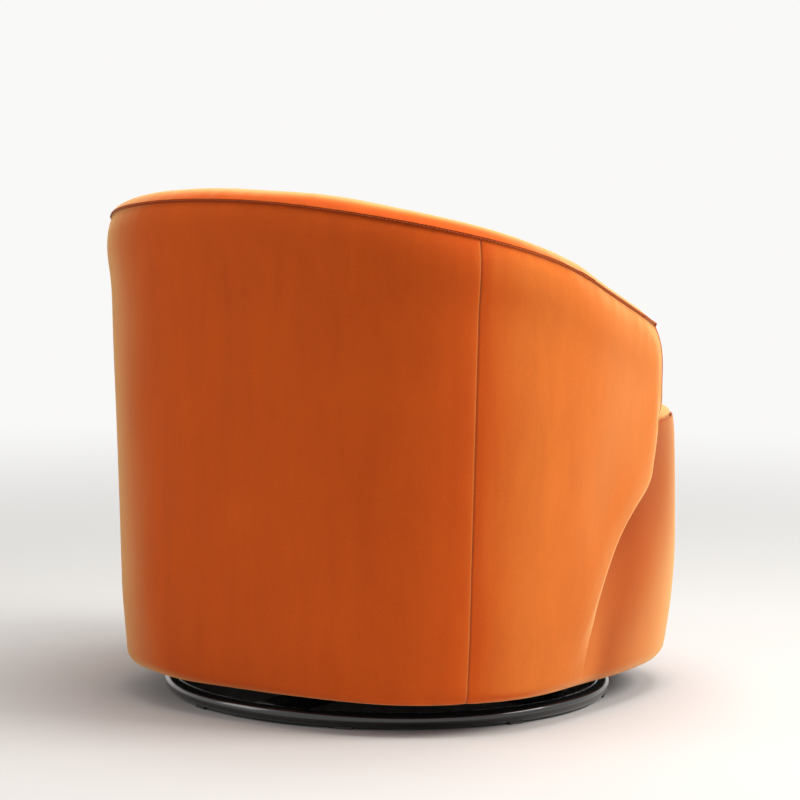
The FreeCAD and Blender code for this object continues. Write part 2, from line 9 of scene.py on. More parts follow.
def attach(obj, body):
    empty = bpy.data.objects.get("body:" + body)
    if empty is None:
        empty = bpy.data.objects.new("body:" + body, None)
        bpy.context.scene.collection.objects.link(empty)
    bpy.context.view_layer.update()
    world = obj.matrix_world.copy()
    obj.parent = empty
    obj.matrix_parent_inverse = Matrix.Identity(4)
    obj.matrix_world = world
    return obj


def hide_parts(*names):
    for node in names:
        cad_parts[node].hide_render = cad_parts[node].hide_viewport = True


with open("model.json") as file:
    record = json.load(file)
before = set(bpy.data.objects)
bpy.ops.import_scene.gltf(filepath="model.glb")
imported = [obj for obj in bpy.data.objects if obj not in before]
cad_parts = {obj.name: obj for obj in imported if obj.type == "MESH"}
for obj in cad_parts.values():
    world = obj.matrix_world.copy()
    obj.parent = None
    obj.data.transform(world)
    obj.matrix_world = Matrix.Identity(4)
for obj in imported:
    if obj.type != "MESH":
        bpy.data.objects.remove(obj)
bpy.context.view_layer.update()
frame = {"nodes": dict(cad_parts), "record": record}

# Swivel barrel chair in burnt orange velvet on a black ring base.
# Metres, +Z up, the sitter faces -Y, the origin is on the floor under the swivel.
# Angles round the body are degrees from the rear, growing towards the sitter's left, +X.

nodes = frame["nodes"]
slotOf = {part["node"]: part["material_slot"] for part in frame["record"]["subparts"]}
print("frame loaded:", len(nodes), "nodes")


# Small maths

def smooth(t):
    t = np.clip(t, 0, 1)
    return t * t * (3 - 2 * t)


def curveThrough(points, x):                     # smooth line through a few (place, value) points
    px, py = np.array(points, float).T
    slope = np.gradient(py, px)
    i = np.clip(np.searchsorted(px, x) - 1, 0, len(px) - 2)
    h = px[i + 1] - px[i]
    t = np.clip((x - px[i]) / h, 0, 1)
    return ((2 * t ** 3 - 3 * t ** 2 + 1) * py[i] + (t ** 3 - 2 * t ** 2 + t) * h * slope[i]
            + (3 * t ** 2 - 2 * t ** 3) * py[i + 1] + (t ** 3 - t ** 2) * h * slope[i + 1])


def solveAngle(miss, low, high):                 # angle where miss() falls through zero, for whole arrays
    low, high = np.array(low, float), np.array(high, float)
    for _ in range(46):
        middle = (low + high) / 2
        above = miss(middle) > 0
        low = np.where(above, middle, low)
        high = np.where(above, high, middle)
    return (low + high) / 2


def wobble(points, size, seed, waves=14):        # gentle unevenness between about -1 and 1
    draw = np.random.default_rng(seed)
    total = np.zeros(points.shape[:-1])
    for _ in range(waves):
        way = draw.normal(size=3)
        way *= 2 * math.pi / size / np.linalg.norm(way) * draw.uniform(0.6, 1.4)
        total += np.sin(points @ way + draw.uniform(0, 2 * math.pi))
    return total / math.sqrt(waves)


# Form of the upholstered body, the same formulas as the frame's covers

form = {
    "halfWidth": 0.3555, "rearDepth": 0.3465, "frontDepth": 0.372,
    "rearSquareness": 2.65, "frontSquareness": 3.4,
    "hemHeight": 0.045, "rimHeight": 0.718, "armDrop": 0.135, "rimPower": 2.07,
    "rimKnee": 85.0, "rimFall": 0.00255,
    "lean": 0.040, "leanFrom": 0.130,
    "lipBulge": 0.0045, "lipDepth": 0.045, "lipReach": 0.035,
    "shoulderIn": 0.0045, "shoulderHeight": 0.030,
    "hemTuck": 0.045, "hemTuckHeight": 0.137, "hemRound": 0.008, "hemRoundHeight": 0.015,
    "belly": 0.0064, "bellyHeight": 0.230, "bellyFall": 0.46, "bellyRise": 0.31,
    "seamAngle": 50.0, "wallThickness": 0.075, "crownHeight": 0.015, "crownPower": 3.2,
    "innerShoulder": 0.003, "armFrontY": -0.160, "armFrontSlope": 11.0,
    "roundFrom": 0.500, "roundBack": 0.061, "roundUp": 0.072, "midBack": 0.31, "midUp": 0.56,
    "wedgeFoot": 0.400, "wedgeDrop": 0.010,
    "sittingHalfWidth": 0.266, "sittingRearDepth": 0.182, "sittingSquareness": 2.5,
    "armStraightness": 5.0, "seatSeam": 0.396, "seatRoll": 0.110,
}


def squaredOval(phi, width, depth, squareness):
    across = np.abs(np.sin(phi)) / width
    along = np.abs(np.cos(phi)) / depth
    return (across ** squareness + along ** squareness) ** (-1 / squareness)


def twoOvals(phi, width, rearDepth, rearSquareness, frontDepth, frontSquareness):
    phi = np.radians(phi)
    rear = squaredOval(phi, width, rearDepth, rearSquareness)
    front = squaredOval(phi, width, frontDepth, frontSquareness)
    return np.where(np.cos(phi) > 0, rear, front)


def plan(phi):
    f = form
    return twoOvals(phi, f["halfWidth"], f["rearDepth"], f["rearSquareness"],
                    f["frontDepth"], f["frontSquareness"])


def sittingPlan(phi):
    f = form
    return twoOvals(phi, f["sittingHalfWidth"], f["sittingRearDepth"], f["sittingSquareness"],
                    2 * f["frontDepth"], f["armStraightness"])


def fromRear(phi):
    return np.abs((phi + 180) % 360 - 180)


def rim(phi):                                    # height of the seam under the rim band
    f = form
    turned = fromRear(phi)
    curve = f["armDrop"] * (np.minimum(turned, f["rimKnee"]) / 90) ** f["rimPower"]
    return f["rimHeight"] - curve - f["rimFall"] * np.maximum(0, turned - f["rimKnee"])


def wallLine(phi, z):
    return plan(phi) + form["lean"] * (z - form["leanFrom"])


def hemTurn(z):
    f = form
    return f["hemRound"] * (np.maximum(0, f["hemHeight"] + f["hemRoundHeight"] - z)
                            / f["hemRoundHeight"]) ** 2


def outerLine(phi, z):
    f = form
    below = rim(phi) - z
    lip = f["lipBulge"] * 2 ** (-((below - f["lipDepth"]) / f["lipReach"]) ** 2 * 1.44)
    shoulder = f["shoulderIn"] * np.clip(1 - below / f["shoulderHeight"], 0, 1) ** 2
    tuck = f["hemTuck"] * np.maximum(0, f["hemTuckHeight"] - z)
    return wallLine(phi, z) + lip - shoulder - tuck - hemTurn(z)


def innerLine(phi, z):
    f = form
    top = rim(phi) - f["wedgeDrop"]
    share = np.sin(math.pi / 2 * np.clip((top - z) / (top - f["wedgeFoot"]), 0, 1))
    shoulder = f["innerShoulder"] * np.clip(1 - (rim(phi) - z) / f["shoulderHeight"], 0, 1) ** 2
    return (1 - share) * (wallLine(phi, z) - f["wallThickness"] + shoulder) + share * sittingPlan(phi)


def frontLine(phi, z):
    f = form
    away = z - f["bellyHeight"]
    fall = np.where(away > 0, f["bellyRise"], f["bellyFall"])
    return plan(phi) + f["belly"] - fall * away ** 2 - hemTurn(z)


def place(phi, radius, z):
    phi, radius, z = np.broadcast_arrays(np.radians(phi), radius, z)
    return np.stack([radius * np.sin(phi), radius * np.cos(phi), z], -1)


def crown(phi, t):                               # top of the wall, t from outer rim seam (0) to inner (1)
    out = outerLine(phi, rim(phi))
    back = innerLine(phi, rim(phi))
    rise = form["crownHeight"] * (1 - np.abs(2 * t - 1) ** form["crownPower"])
    return out + (back - out) * t, rim(phi) + rise


def armFrontY(z):                                # front face of the arms: upright, sloping, then rounded over
    f = form
    lean = math.tan(math.radians(f["armFrontSlope"]))
    turnY = f["armFrontY"] + (f["roundFrom"] - f["wedgeFoot"]) * lean
    bx, bz = f["midBack"] * f["roundBack"], f["midUp"] * f["roundUp"]
    cx, cz = f["roundBack"], f["roundUp"]
    away = np.linalg.solve([[2 * bx, 2 * bz], [2 * cx, 2 * cz]], [bx ** 2 + bz ** 2, cx ** 2 + cz ** 2])
    radius = np.hypot(*away)
    up = np.clip(z - f["roundFrom"], 0, cz)
    curve = away[0] - np.sqrt(np.maximum(radius ** 2 - (up - away[1]) ** 2, 0))
    straight = f["armFrontY"] + np.clip(z - f["wedgeFoot"], 0, f["roundFrom"] - f["wedgeFoot"]) * lean
    over = 2 * np.maximum(0, z - f["roundFrom"] - cz)
    return np.where(z < f["roundFrom"], straight, turnY + curve) + over


def crownEnd(t):                                 # angle where the rim band meets the rounded arm front
    def miss(phi):
        radius, z = crown(phi, t)
        return radius * np.cos(np.radians(phi)) - armFrontY(z)
    return solveAngle(miss, 85 + 0 * t, 124 + 0 * t)


def frontEdge(line, z):                          # angle where a wall face meets the arm front
    def miss(phi):
        return line(phi, z) * np.cos(np.radians(phi)) - armFrontY(z)
    return solveAngle(miss, 88 + 0 * z, 130 + 0 * z)


# The crease where the outer arm panel ends and the lower front panel tucks in behind it

crease = {
    "path": [(0.045, 83.5), (0.096, 85.3), (0.148, 88.4), (0.204, 93.3), (0.250, 98.8),
             (0.283, 104.6), (0.308, 110.2), (0.340, 112.3)],
    "depth": [(0.045, 0.0), (0.070, 0.0006), (0.100, 0.002), (0.200, 0.0075), (0.300, 0.0112),
              (0.396, 0.0115)],
    "fullDepth": 0.0115,
    "roll": [(0.045, 0.034), (0.100, 0.030), (0.150, 0.019), (0.230, 0.014), (0.290, 0.015), (0.340, 0.024),
             (0.396, 0.030)],
    "bulge": 0.0016, "bulgeAway": 0.034, "bulgeWidth": 0.024,
    "valley": 0.135,                             # width of the hollow in front of it
    "frontFrom": 136.0,                          # angle from which the front has its own belly
}


def creaseAngle(z):
    top = form["seatSeam"]
    meets = float(frontEdge(outerLine, np.array([top]))[0])
    return curveThrough(crease["path"] + [(top, meets)], z)


# Panels of the skin as grids that share their edges

mesh = {
    "step": 0.0052,
    "seamSteps": [0, 0.0005, 0.0011, 0.0020, 0.0034, 0.0052, 0.0075, 0.0105, 0.0145],
    "hemSteps": [0, 0.0012, 0.0028, 0.005, 0.008, 0.012, 0.017],
    "flap": [(0.027, 0.0452), (0.020, 0.0449), (0.012, 0.0446), (0.006, 0.0445), (0.0025, 0.0446)],
    "wallFrom": 0.022, "wallTo": 0.019, "wallRows": 62,
    "skirt": [0.364, 0.374, 0.385],              # covers run on below the seat
    "armSkirtShift": [-0.016, 0.004, 0],         # hides them behind the seat's ears
}


def spread(length, start=True, end=True):
    steps = np.array(mesh["seamSteps"])
    low = steps / length if start else np.zeros(1)
    high = 1 - steps[::-1] / length if end else np.ones(1)
    count = max(2, int(math.ceil((high[0] - low[-1]) * length / mesh["step"])) + 1)
    return np.concatenate([low, np.linspace(low[-1], high[0], count)[1:-1], high])


backSpots = spread(0.62)                         # across the back, 0 to 1
sideSpots = spread(0.40)                         # from the back seam to the arm front
bandSpots = spread(0.085)                        # over the rim
riseSpots = spread(0.32, start=False)            # from the seat seam height to the rim
frontSpots = spread(1.25)
seam, split = form["seatSeam"], form["seamAngle"]
lowRows = np.concatenate([form["hemHeight"] + np.array(mesh["hemSteps"]),
                          np.linspace(form["hemHeight"] + mesh["wallFrom"], seam - mesh["wallTo"],
                                      mesh["wallRows"]),
                          seam - np.array(mesh["seamSteps"])[::-1]])
bandEnd = crownEnd(bandSpots)
cornerAngle, innerAngle = bandEnd[0], bandEnd[-1]
cornerHeight, innerHeight = rim(cornerAngle), rim(innerAngle)

panels = {}


def lowPart(edgeFrom, edgeTo, spots, line):      # hem flap and the wall up to the seat seam height
    z = np.concatenate([[low for _, low in mesh["flap"]], lowRows])
    inset = np.concatenate([[away for away, _ in mesh["flap"]], 0 * lowRows])
    level = np.maximum(z, form["hemHeight"])
    start, stop = edgeFrom(level)[:, None], edgeTo(level)[:, None]
    phi = start + spots[None] * (stop - start)
    radius = line(phi, level[:, None] + 0 * phi) - inset[:, None]
    return place(phi, radius, z[:, None])


def highPart(phiTop, edgeOf, fromAngle, spots, line):   # from the seat seam height up to the rim
    topHeight = rim(phiTop)
    z = seam + riseSpots[:, None] * (topHeight[None] - seam)
    if edgeOf is None:
        phi = phiTop[None] + 0 * z
    else:
        edge = edgeOf(seam + riseSpots * (topHeight[-1] - seam))
        phi = fromAngle + spots[None] * (edge[:, None] - fromAngle)
    return place(phi, line(phi, z), z)


def skirt(row):                                  # rows straight down under the first one
    return np.stack([np.concatenate([row[:, :2], np.full((len(row), 1), z)], 1) for z in mesh["skirt"]])


def mirrored(grid):
    return (grid * [-1, 1, 1])[:, ::-1]


def fixed(angle):                                # an edge that stays at one angle
    return lambda z: angle + 0 * z


def outerEdge(z):
    return frontEdge(outerLine, z)


backPhi = -split + backSpots * 2 * split
panels["backCover"] = np.concatenate([lowPart(fixed(-split), fixed(split), backSpots, outerLine),
                                      highPart(backPhi, None, 0, backSpots, outerLine)[1:]])

sidePhi = split + sideSpots * (cornerAngle - split)
left = np.concatenate([lowPart(fixed(split), creaseAngle, sideSpots, outerLine),
                       highPart(sidePhi, outerEdge, split, sideSpots, outerLine)[1:]])
panels["sideCoverLeft"], panels["sideCoverRight"] = left, mirrored(left)


def lowerFront(phi, z):                          # the side wall's line that turns into the front's
    turned = fromRear(phi)
    edge = creaseAngle(z)
    own = smooth((turned - edge) / (crease["frontFrom"] - edge))
    return (1 - own) * outerLine(turned, z) + own * frontLine(turned, z)


panels["frontCover"] = lowPart(creaseAngle, lambda z: 360 - creaseAngle(z), frontSpots, lowerFront)


def bandGrid(phiAt):
    t = bandSpots[:, None]
    phi = phiAt(bandEnd[:, None])
    radius, z = crown(phi, t + 0 * phi)
    return place(phi, radius, z)


bandSide = bandGrid(lambda end: split + sideSpots[None] * (end - split))
bandBack = bandGrid(lambda end: backPhi[None] + 0 * end)
panels["rimBand"] = np.concatenate([mirrored(bandSide)[:, :-1], bandBack[:, :-1], bandSide], 1)

innerBack = highPart(backPhi, None, 0, backSpots, innerLine)
panels["innerBack"] = np.concatenate([skirt(innerBack[0]), innerBack])
innerPhi = split + sideSpots * (innerAngle - split)
innerArm = highPart(innerPhi, lambda z: frontEdge(innerLine, z), split, sideSpots, innerLine)
left = np.concatenate([skirt(innerArm[0]), innerArm])
panels["innerArmLeft"], panels["innerArmRight"] = left, mirrored(left)


def armFrontGrid():
    topLine = bandSide[:, -1]                    # along the end of the rim band
    topZ = topLine[:, 2]
    z = seam + riseSpots[:, None] * (topZ[None] - seam)
    outZ = seam + riseSpots * (cornerHeight - seam)
    inZ = seam + riseSpots * (innerHeight - seam)
    outX = (outerLine(outerEdge(outZ), outZ) * np.sin(np.radians(outerEdge(outZ))))[:, None]
    inEdge = frontEdge(innerLine, inZ)
    inX = (innerLine(inEdge, inZ) * np.sin(np.radians(inEdge)))[:, None]
    t = bandSpots[None]
    x = outX + (inX - outX) * t
    x += smooth((riseSpots[:, None] - 0.55) / 0.45) * (topLine[None, :, 0] - x[-1:])
    grid = np.stack([x, armFrontY(z), z], -1)
    grid[-1] = topLine
    return np.concatenate([skirt(grid[0]), grid])


left = armFrontGrid()
left[:len(mesh["skirt"])] += mesh["armSkirtShift"]
panels["armFrontLeft"], panels["armFrontRight"] = left, mirrored(left)
laidOutward = {"rimBand", "innerBack", "innerArmLeft", "innerArmRight"}   # their faces already look outward
print("panels laid out:", {name: grid.shape[:2] for name, grid in panels.items()})


# One welded skin, so that padding and seams are shaped across the panels

def gridQuads(index):                            # faces of a grid of point numbers
    return np.stack([index[:-1, :-1], index[:-1, 1:], index[1:, 1:], index[1:, :-1]], -1).reshape(-1, 4)


allPoints = np.concatenate([grid.reshape(-1, 3) for grid in panels.values()])
_, firstOf, weldedTo = np.unique(np.round(allPoints, 6), axis=0, return_index=True, return_inverse=True)
weldedTo = weldedTo.reshape(-1)
skin = allPoints[firstOf].copy()
gridOf, quadsOf, start = {}, {}, 0
for name, grid in panels.items():
    rows, cols = grid.shape[:2]
    index = weldedTo[start:start + rows * cols].reshape(rows, cols)
    start += rows * cols
    quads = gridQuads(index)
    gridOf[name] = index
    quadsOf[name] = quads if name in laidOutward else quads[:, ::-1]


def pointNormals(points, quads):
    a, b, c, d = (points[quads[:, i]] for i in range(4))
    across = np.cross(c - a, d - b)
    total = np.zeros_like(points)
    for i in range(4):
        np.add.at(total, quads[:, i], across)
    return total / np.maximum(np.linalg.norm(total, axis=1, keepdims=True), 1e-12)


skinQuads = np.concatenate(list(quadsOf.values()))


def distanceTo(targets, points):                 # from each point to the closest target
    tree = KDTree(len(targets))
    for i, target in enumerate(targets):
        tree.insert(target, i)
    tree.balance()
    return np.array([tree.find(point)[2] for point in points])


skirtRows = len(mesh["skirt"])
lowCount = len(mesh["flap"]) + len(lowRows)
flapRows = len(mesh["flap"])
seams = {                                        # lines of grid points, in order
    "rimOuter": gridOf["rimBand"][0],
    "rimInner": gridOf["rimBand"][-1],
    "seatFront": gridOf["frontCover"][-1],
}
for side, rear, front in (("Left", 0, -1), ("Right", -1, 0)):
    seams["back" + side] = gridOf["sideCover" + side][flapRows:, rear]
    seams["inner" + side] = gridOf["innerArm" + side][skirtRows:, rear]
    seams["armOut" + side] = gridOf["sideCover" + side][lowCount - 1:, front]
    seams["armIn" + side] = gridOf["innerArm" + side][skirtRows:, front]
    seams["armTop" + side] = gridOf["rimBand"][:, front]
creaseLine = np.concatenate([gridOf["frontCover"][flapRows:, 0], gridOf["frontCover"][flapRows:, -1]])
roundSeams = [name for name in seams if name.startswith("arm")]

padding = {
    # padded corner of the arm fronts
    "roundReach": 0.026, "roundFade": 0.012, "roundRounds": 130, "roundShare": 0.9,
    "roundFoot": 0.004, "roundRise": 0.02,
    "grooveDepth": 0.0013, "grooveWidth": 0.0011,
    "pullDepth": 0.0009, "pullWidth": 0.009,     # wider pull of the stitches on the padding
    "uneven": 0.0007, "unevenSize": 0.17, "unevenClear": 0.03,
    "gather": 0.00034, "gatherSize": 0.017, "gatherReach": 0.030, "gatherClear": 0.004,
    "gatherAcross": 0.37, "gatherDown": 0.12,
    "armFrontPillow": 0.004, "pillowReach": 0.034,
    # painted shade in the hollow in front of the crease: its reach, its softness and the crease depth at
    # which its edge is sharp
    "hollowShadeReach": 0.22, "hollowShadeSoftness": 0.07, "hollowShadeSharpDepth": 0.010,
    "shadeWidth": 0.00055,
}

sewnIndex = np.unique(np.concatenate(list(seams.values())))
roundIndex = np.unique(np.concatenate([seams[name] for name in roundSeams]))
normals = pointNormals(skin, skinQuads)
roundAway = distanceTo(skin[roundIndex], skin)
creaseAway = distanceTo(skin[creaseLine], skin)
owners = {name: np.zeros(len(skin), bool) for name in panels}
for name, index in gridOf.items():
    owners[name][index.ravel()] = True
outward = skin * [1, 1, 0]
outward /= np.maximum(np.linalg.norm(outward, axis=1, keepdims=True), 1e-9)

# hollow in front of the crease, and the rolled edge of the panel behind it
z = skin[:, 2]
depth = curveThrough(crease["depth"], np.minimum(z, seam))
roll = curveThrough(crease["roll"], np.minimum(z, seam))
inFront = owners["frontCover"]
sides = owners["sideCoverLeft"] | owners["sideCoverRight"] | owners["armFrontLeft"] | owners["armFrontRight"]
behindShare = np.clip(1 - creaseAway / roll, 0, 1) ** 2
frontShare = 1 - smooth(creaseAway / crease["valley"])
share = np.where(inFront, frontShare, np.where(sides, behindShare, 0))
bump = crease["bulge"] * np.exp(-((creaseAway - crease["bulgeAway"]) / crease["bulgeWidth"]) ** 2)
push = -depth * share + np.where(sides & ~inFront, bump * depth / crease["fullDepth"], 0)
skin += outward * push[:, None]


# rounded padding at the edges of the arm fronts: the skin is evened out near them
def evened(points, quads, weight, rounds):
    edges = np.unique(np.sort(np.concatenate([quads[:, [i, (i + 1) % 4]] for i in range(4)]), 1), axis=0)
    edges = edges[(edges[:, 0] != edges[:, 1]) & ((weight[edges] > 0).any(1))]
    first, second = np.concatenate([edges, edges[:, ::-1]]).T
    for _ in range(rounds):
        pull = 1 / np.maximum(np.linalg.norm(points[second] - points[first], axis=1), 0.0003)
        total = np.bincount(first, pull, len(points))
        mean = np.stack([np.bincount(first, pull * points[second, i], len(points)) for i in range(3)], 1)
        mean = mean / np.maximum(total, 1e-9)[:, None]
        points = points + (weight * (total > 0))[:, None] * (mean - points)
    return points


p = padding
aboveSeat = smooth((skin[:, 2] - seam + p["roundFoot"]) / p["roundRise"])
evenWeight = smooth((p["roundReach"] - roundAway) / p["roundFade"]) * aboveSeat
skin = evened(skin, skinQuads, p["roundShare"] * evenWeight, p["roundRounds"])
pillow = owners["armFrontLeft"] | owners["armFrontRight"]
skin += np.where(pillow, p["armFrontPillow"] * smooth(roundAway / p["pillowReach"]), 0)[:, None] * normals
print("skin welded:", len(skin), "points")


# Cloth simulation: pressure swells a padded face that is held along its seams

def newMesh(name, points, faces):
    data = bpy.data.meshes.new(name)
    data.from_pydata(np.asarray(points, float).tolist(), [], [list(map(int, face)) for face in faces])
    data.update()
    return data


def newObject(name, data):
    made = bpy.data.objects.new(name, data)
    bpy.context.scene.collection.objects.link(made)
    return made


def coordinates(data):
    flat = np.zeros(len(data.vertices) * 3)
    data.vertices.foreach_get("co", flat)
    return flat.reshape(-1, 3)


def swell(points, faces, held, pressure, frames, cap):
    cloth = newObject("clothTrial", newMesh("clothTrial", points, faces))
    group = cloth.vertex_groups.new(name="held")
    group.add([int(i) for i in held], 1.0, "REPLACE")
    modifier = cloth.modifiers.new("Cloth", "CLOTH")
    settings = modifier.settings
    settings.quality = 6
    settings.mass = 0.25
    settings.tension_stiffness = settings.compression_stiffness = 22
    settings.shear_stiffness = 8
    settings.bending_stiffness = 1.4
    settings.use_pressure = True
    settings.uniform_pressure_force = pressure
    settings.vertex_group_mass = "held"
    settings.effector_weights.gravity = 0
    modifier.collision_settings.use_collision = False
    modifier.point_cache.frame_start = 1
    modifier.point_cache.frame_end = frames
    scene = bpy.context.scene
    for number in range(1, frames + 1):
        scene.frame_set(number)
    swollen = cloth.evaluated_get(bpy.context.evaluated_depsgraph_get())
    result = coordinates(swollen.data)
    scene.frame_set(1)
    bpy.data.objects.remove(cloth)
    moved = result - points
    length = np.linalg.norm(moved, axis=1)
    return points + moved * np.minimum(1, cap / np.maximum(length, 1e-9))[:, None]


swelling = {
    "innerBack": {"pressure": 2.2, "frames": 14, "cap": 0.014},
    "innerArmLeft": {"pressure": 2.2, "frames": 14, "cap": 0.010},
    "innerArmRight": {"pressure": 2.2, "frames": 14, "cap": 0.010},
}
for name, values in swelling.items():
    own, quads = np.unique(quadsOf[name], return_inverse=True)
    grid = gridOf[name]
    edge = np.concatenate([grid[:skirtRows + 1].ravel(), grid[-1], grid[:, 0], grid[:, -1]])
    held = np.flatnonzero(np.isin(own, edge))
    skin[own] = swell(skin[own], quads.reshape(-1, 4), held, values["pressure"], values["frames"],
                      values["cap"])
print("inner back and arms simulated")

# uneven padding, gathers under the rim seam, then the seams themselves
normals = pointNormals(skin, skinQuads)
sewnAway = distanceTo(skin[sewnIndex], skin)
rimAway = distanceTo(skin[np.concatenate([seams["rimOuter"], seams["rimInner"]])], skin)
turn = np.arctan2(skin[:, 0], skin[:, 1])
along = np.stack([turn * p["gatherAcross"], 0 * turn, p["gatherDown"] * skin[:, 2]], 1)
gathers = wobble(along, p["gatherSize"], 21, 9) * np.exp(-rimAway / p["gatherReach"])
push = p["uneven"] * wobble(skin, p["unevenSize"], 5) * smooth(sewnAway / p["unevenClear"])
push += p["gather"] * gathers * smooth(rimAway / p["gatherClear"])
push -= p["grooveDepth"] * np.exp(-(sewnAway / p["grooveWidth"]) ** 2)
push -= p["pullDepth"] * np.exp(-(sewnAway / p["pullWidth"]) ** 2)
skin += normals * push[:, None]
seamShade = np.exp(-(sewnAway / p["shadeWidth"]) ** 2)
# painted shade: darker colour in the hollow in front of the crease, fading away from it
sharp = np.clip(depth / p["hollowShadeSharpDepth"], 0, 1)
hollowShadeEdge = sharp + (1 - sharp) * smooth(creaseAway / p["hollowShadeSoftness"])
creaseHollowShade = np.where(inFront, (1 - smooth(creaseAway / p["hollowShadeReach"])) * hollowShadeEdge, 0)
print("seams and padding shaped")


# Node trees

def addNode(tree, kind, settings=None, inputs=None):
    node = tree.nodes.new(kind)
    for key, value in (settings or {}).items():
        setattr(node, key, value)
    for key, value in (inputs or {}).items():
        if isinstance(value, bpy.types.NodeSocket):
            tree.links.new(value, node.inputs[key])
        else:
            node.inputs[key].default_value = value
    return node


def newGroup(name, defaults, outputs):           # every socket is a plain number
    tree = bpy.data.node_groups.new(name, "ShaderNodeTree")
    for label, value in defaults.items():
        socket = tree.interface.new_socket(name=label, in_out="INPUT", socket_type="NodeSocketFloat")
        socket.default_value = value
    for label in outputs:
        tree.interface.new_socket(name=label, in_out="OUTPUT", socket_type="NodeSocketFloat")
    return tree, tree.nodes.new("NodeGroupInput"), tree.nodes.new("NodeGroupOutput")


def maths(tree, operation, first, second=0.5):
    return addNode(tree, "ShaderNodeMath", {"operation": operation}, {0: first, 1: second}).outputs[0]


def weighted(tree, *pairs):                      # sum of values, each times its share
    parts = [maths(tree, "MULTIPLY", value, share) for value, share in pairs]
    total = parts[0]
    for part in parts[1:]:
        total = maths(tree, "ADD", total, part)
    return total


def wave(tree, spot, pitch):
    return maths(tree, "SINE", maths(tree, "MULTIPLY", spot, 2 * math.pi / pitch), 0)


def ranged(tree, value, low, high, toLow=0.0, toHigh=1.0, easing="LINEAR"):
    return addNode(tree, "ShaderNodeMapRange", {"interpolation_type": easing},
                   {0: value, 1: low, 2: high, 3: toLow, 4: toHigh}).outputs[0]


def mixColour(tree, share, first, second):
    return addNode(tree, "ShaderNodeMix", {"data_type": "RGBA"}, {0: share, 6: first, 7: second}).outputs[2]


def noise(tree, vector, scale, detail=3.0, roughness=0.5, distortion=0.0):
    return addNode(tree, "ShaderNodeTexNoise", None, {"Vector": vector, "Scale": scale, "Detail": detail,
                                                      "Roughness": roughness, "Distortion": distortion})


def objectPlace(tree, stretch=(1, 1, 1)):
    where = addNode(tree, "ShaderNodeTexCoord").outputs["Object"]
    if stretch == (1, 1, 1):
        return where
    return addNode(tree, "ShaderNodeMapping", None, {"Vector": where, "Scale": stretch}).outputs[0]


# Group: fine uneven grain, used by every finish
grainGroup, gIn, gOut = newGroup("fineGrain", {"Scale": 900.0, "Patch Scale": 9.0}, ["Grain", "Patches"])
where = objectPlace(grainGroup)
fine = noise(grainGroup, where, gIn.outputs["Scale"], 2.0, 0.6)
broad = noise(grainGroup, where, gIn.outputs["Patch Scale"], 4.0, 0.55, 0.4)
grainGroup.links.new(fine.outputs[0], gOut.inputs["Grain"])
grainGroup.links.new(broad.outputs[0], gOut.inputs["Patches"])

# Group: velvet pile, a faint woven ground with brushed streaks
pileGroup, gIn, gOut = newGroup("velvetPile", {"Thread": 0.0011, "Streak Scale": 26.0}, ["Height", "Tone"])
where = objectPlace(pileGroup)
parts = addNode(pileGroup, "ShaderNodeSeparateXYZ", None, {0: where})
angle = maths(pileGroup, "ARCTAN2", parts.outputs[0], parts.outputs[1])
acrossThreads = maths(pileGroup, "DIVIDE", maths(pileGroup, "MULTIPLY", angle, 0.36), gIn.outputs["Thread"])
upThreads = maths(pileGroup, "DIVIDE", parts.outputs[2], gIn.outputs["Thread"])
weave = maths(pileGroup, "MULTIPLY", wave(pileGroup, acrossThreads, 1.0), wave(pileGroup, upThreads, 1.0))
tuft = noise(pileGroup, where, 1500.0, 2.0, 0.7)
streak = noise(pileGroup, objectPlace(pileGroup, (1, 1, 0.22)), gIn.outputs["Streak Scale"], 5.0, 0.62, 0.5)
height = maths(pileGroup, "ADD", maths(pileGroup, "MULTIPLY", weave, 0.16), tuft.outputs[0])
tone = weighted(pileGroup, (streak.outputs[0], 0.7), (tuft.outputs[0], 0.3))
pileGroup.links.new(height, gOut.inputs["Height"])
pileGroup.links.new(tone, gOut.inputs["Tone"])


def newMaterial(name, values):
    made = bpy.data.materials.new(name)
    made.use_nodes = True
    tree = made.node_tree
    tree.nodes.clear()
    shader = tree.nodes.new("ShaderNodeBsdfPrincipled")
    output = tree.nodes.new("ShaderNodeOutputMaterial")
    tree.links.new(shader.outputs[0], output.inputs[0])
    for key, value in values.items():
        shader.inputs[key].default_value = value
    return made, tree, shader


def useGroup(tree, group, inputs=None):
    node = tree.nodes.new("ShaderNodeGroup")
    node.node_tree = group
    for key, value in (inputs or {}).items():
        node.inputs[key].default_value = value
    return node


def addBump(tree, shader, height, strength, distance):
    values = {"Height": height, "Strength": strength, "Distance": distance}
    bump = addNode(tree, "ShaderNodeBump", None, values)
    tree.links.new(bump.outputs[0], shader.inputs["Normal"])


def addRoughness(tree, shader, value, low, high):
    tree.links.new(ranged(tree, value, 0.3, 0.7, low, high), shader.inputs["Roughness"])


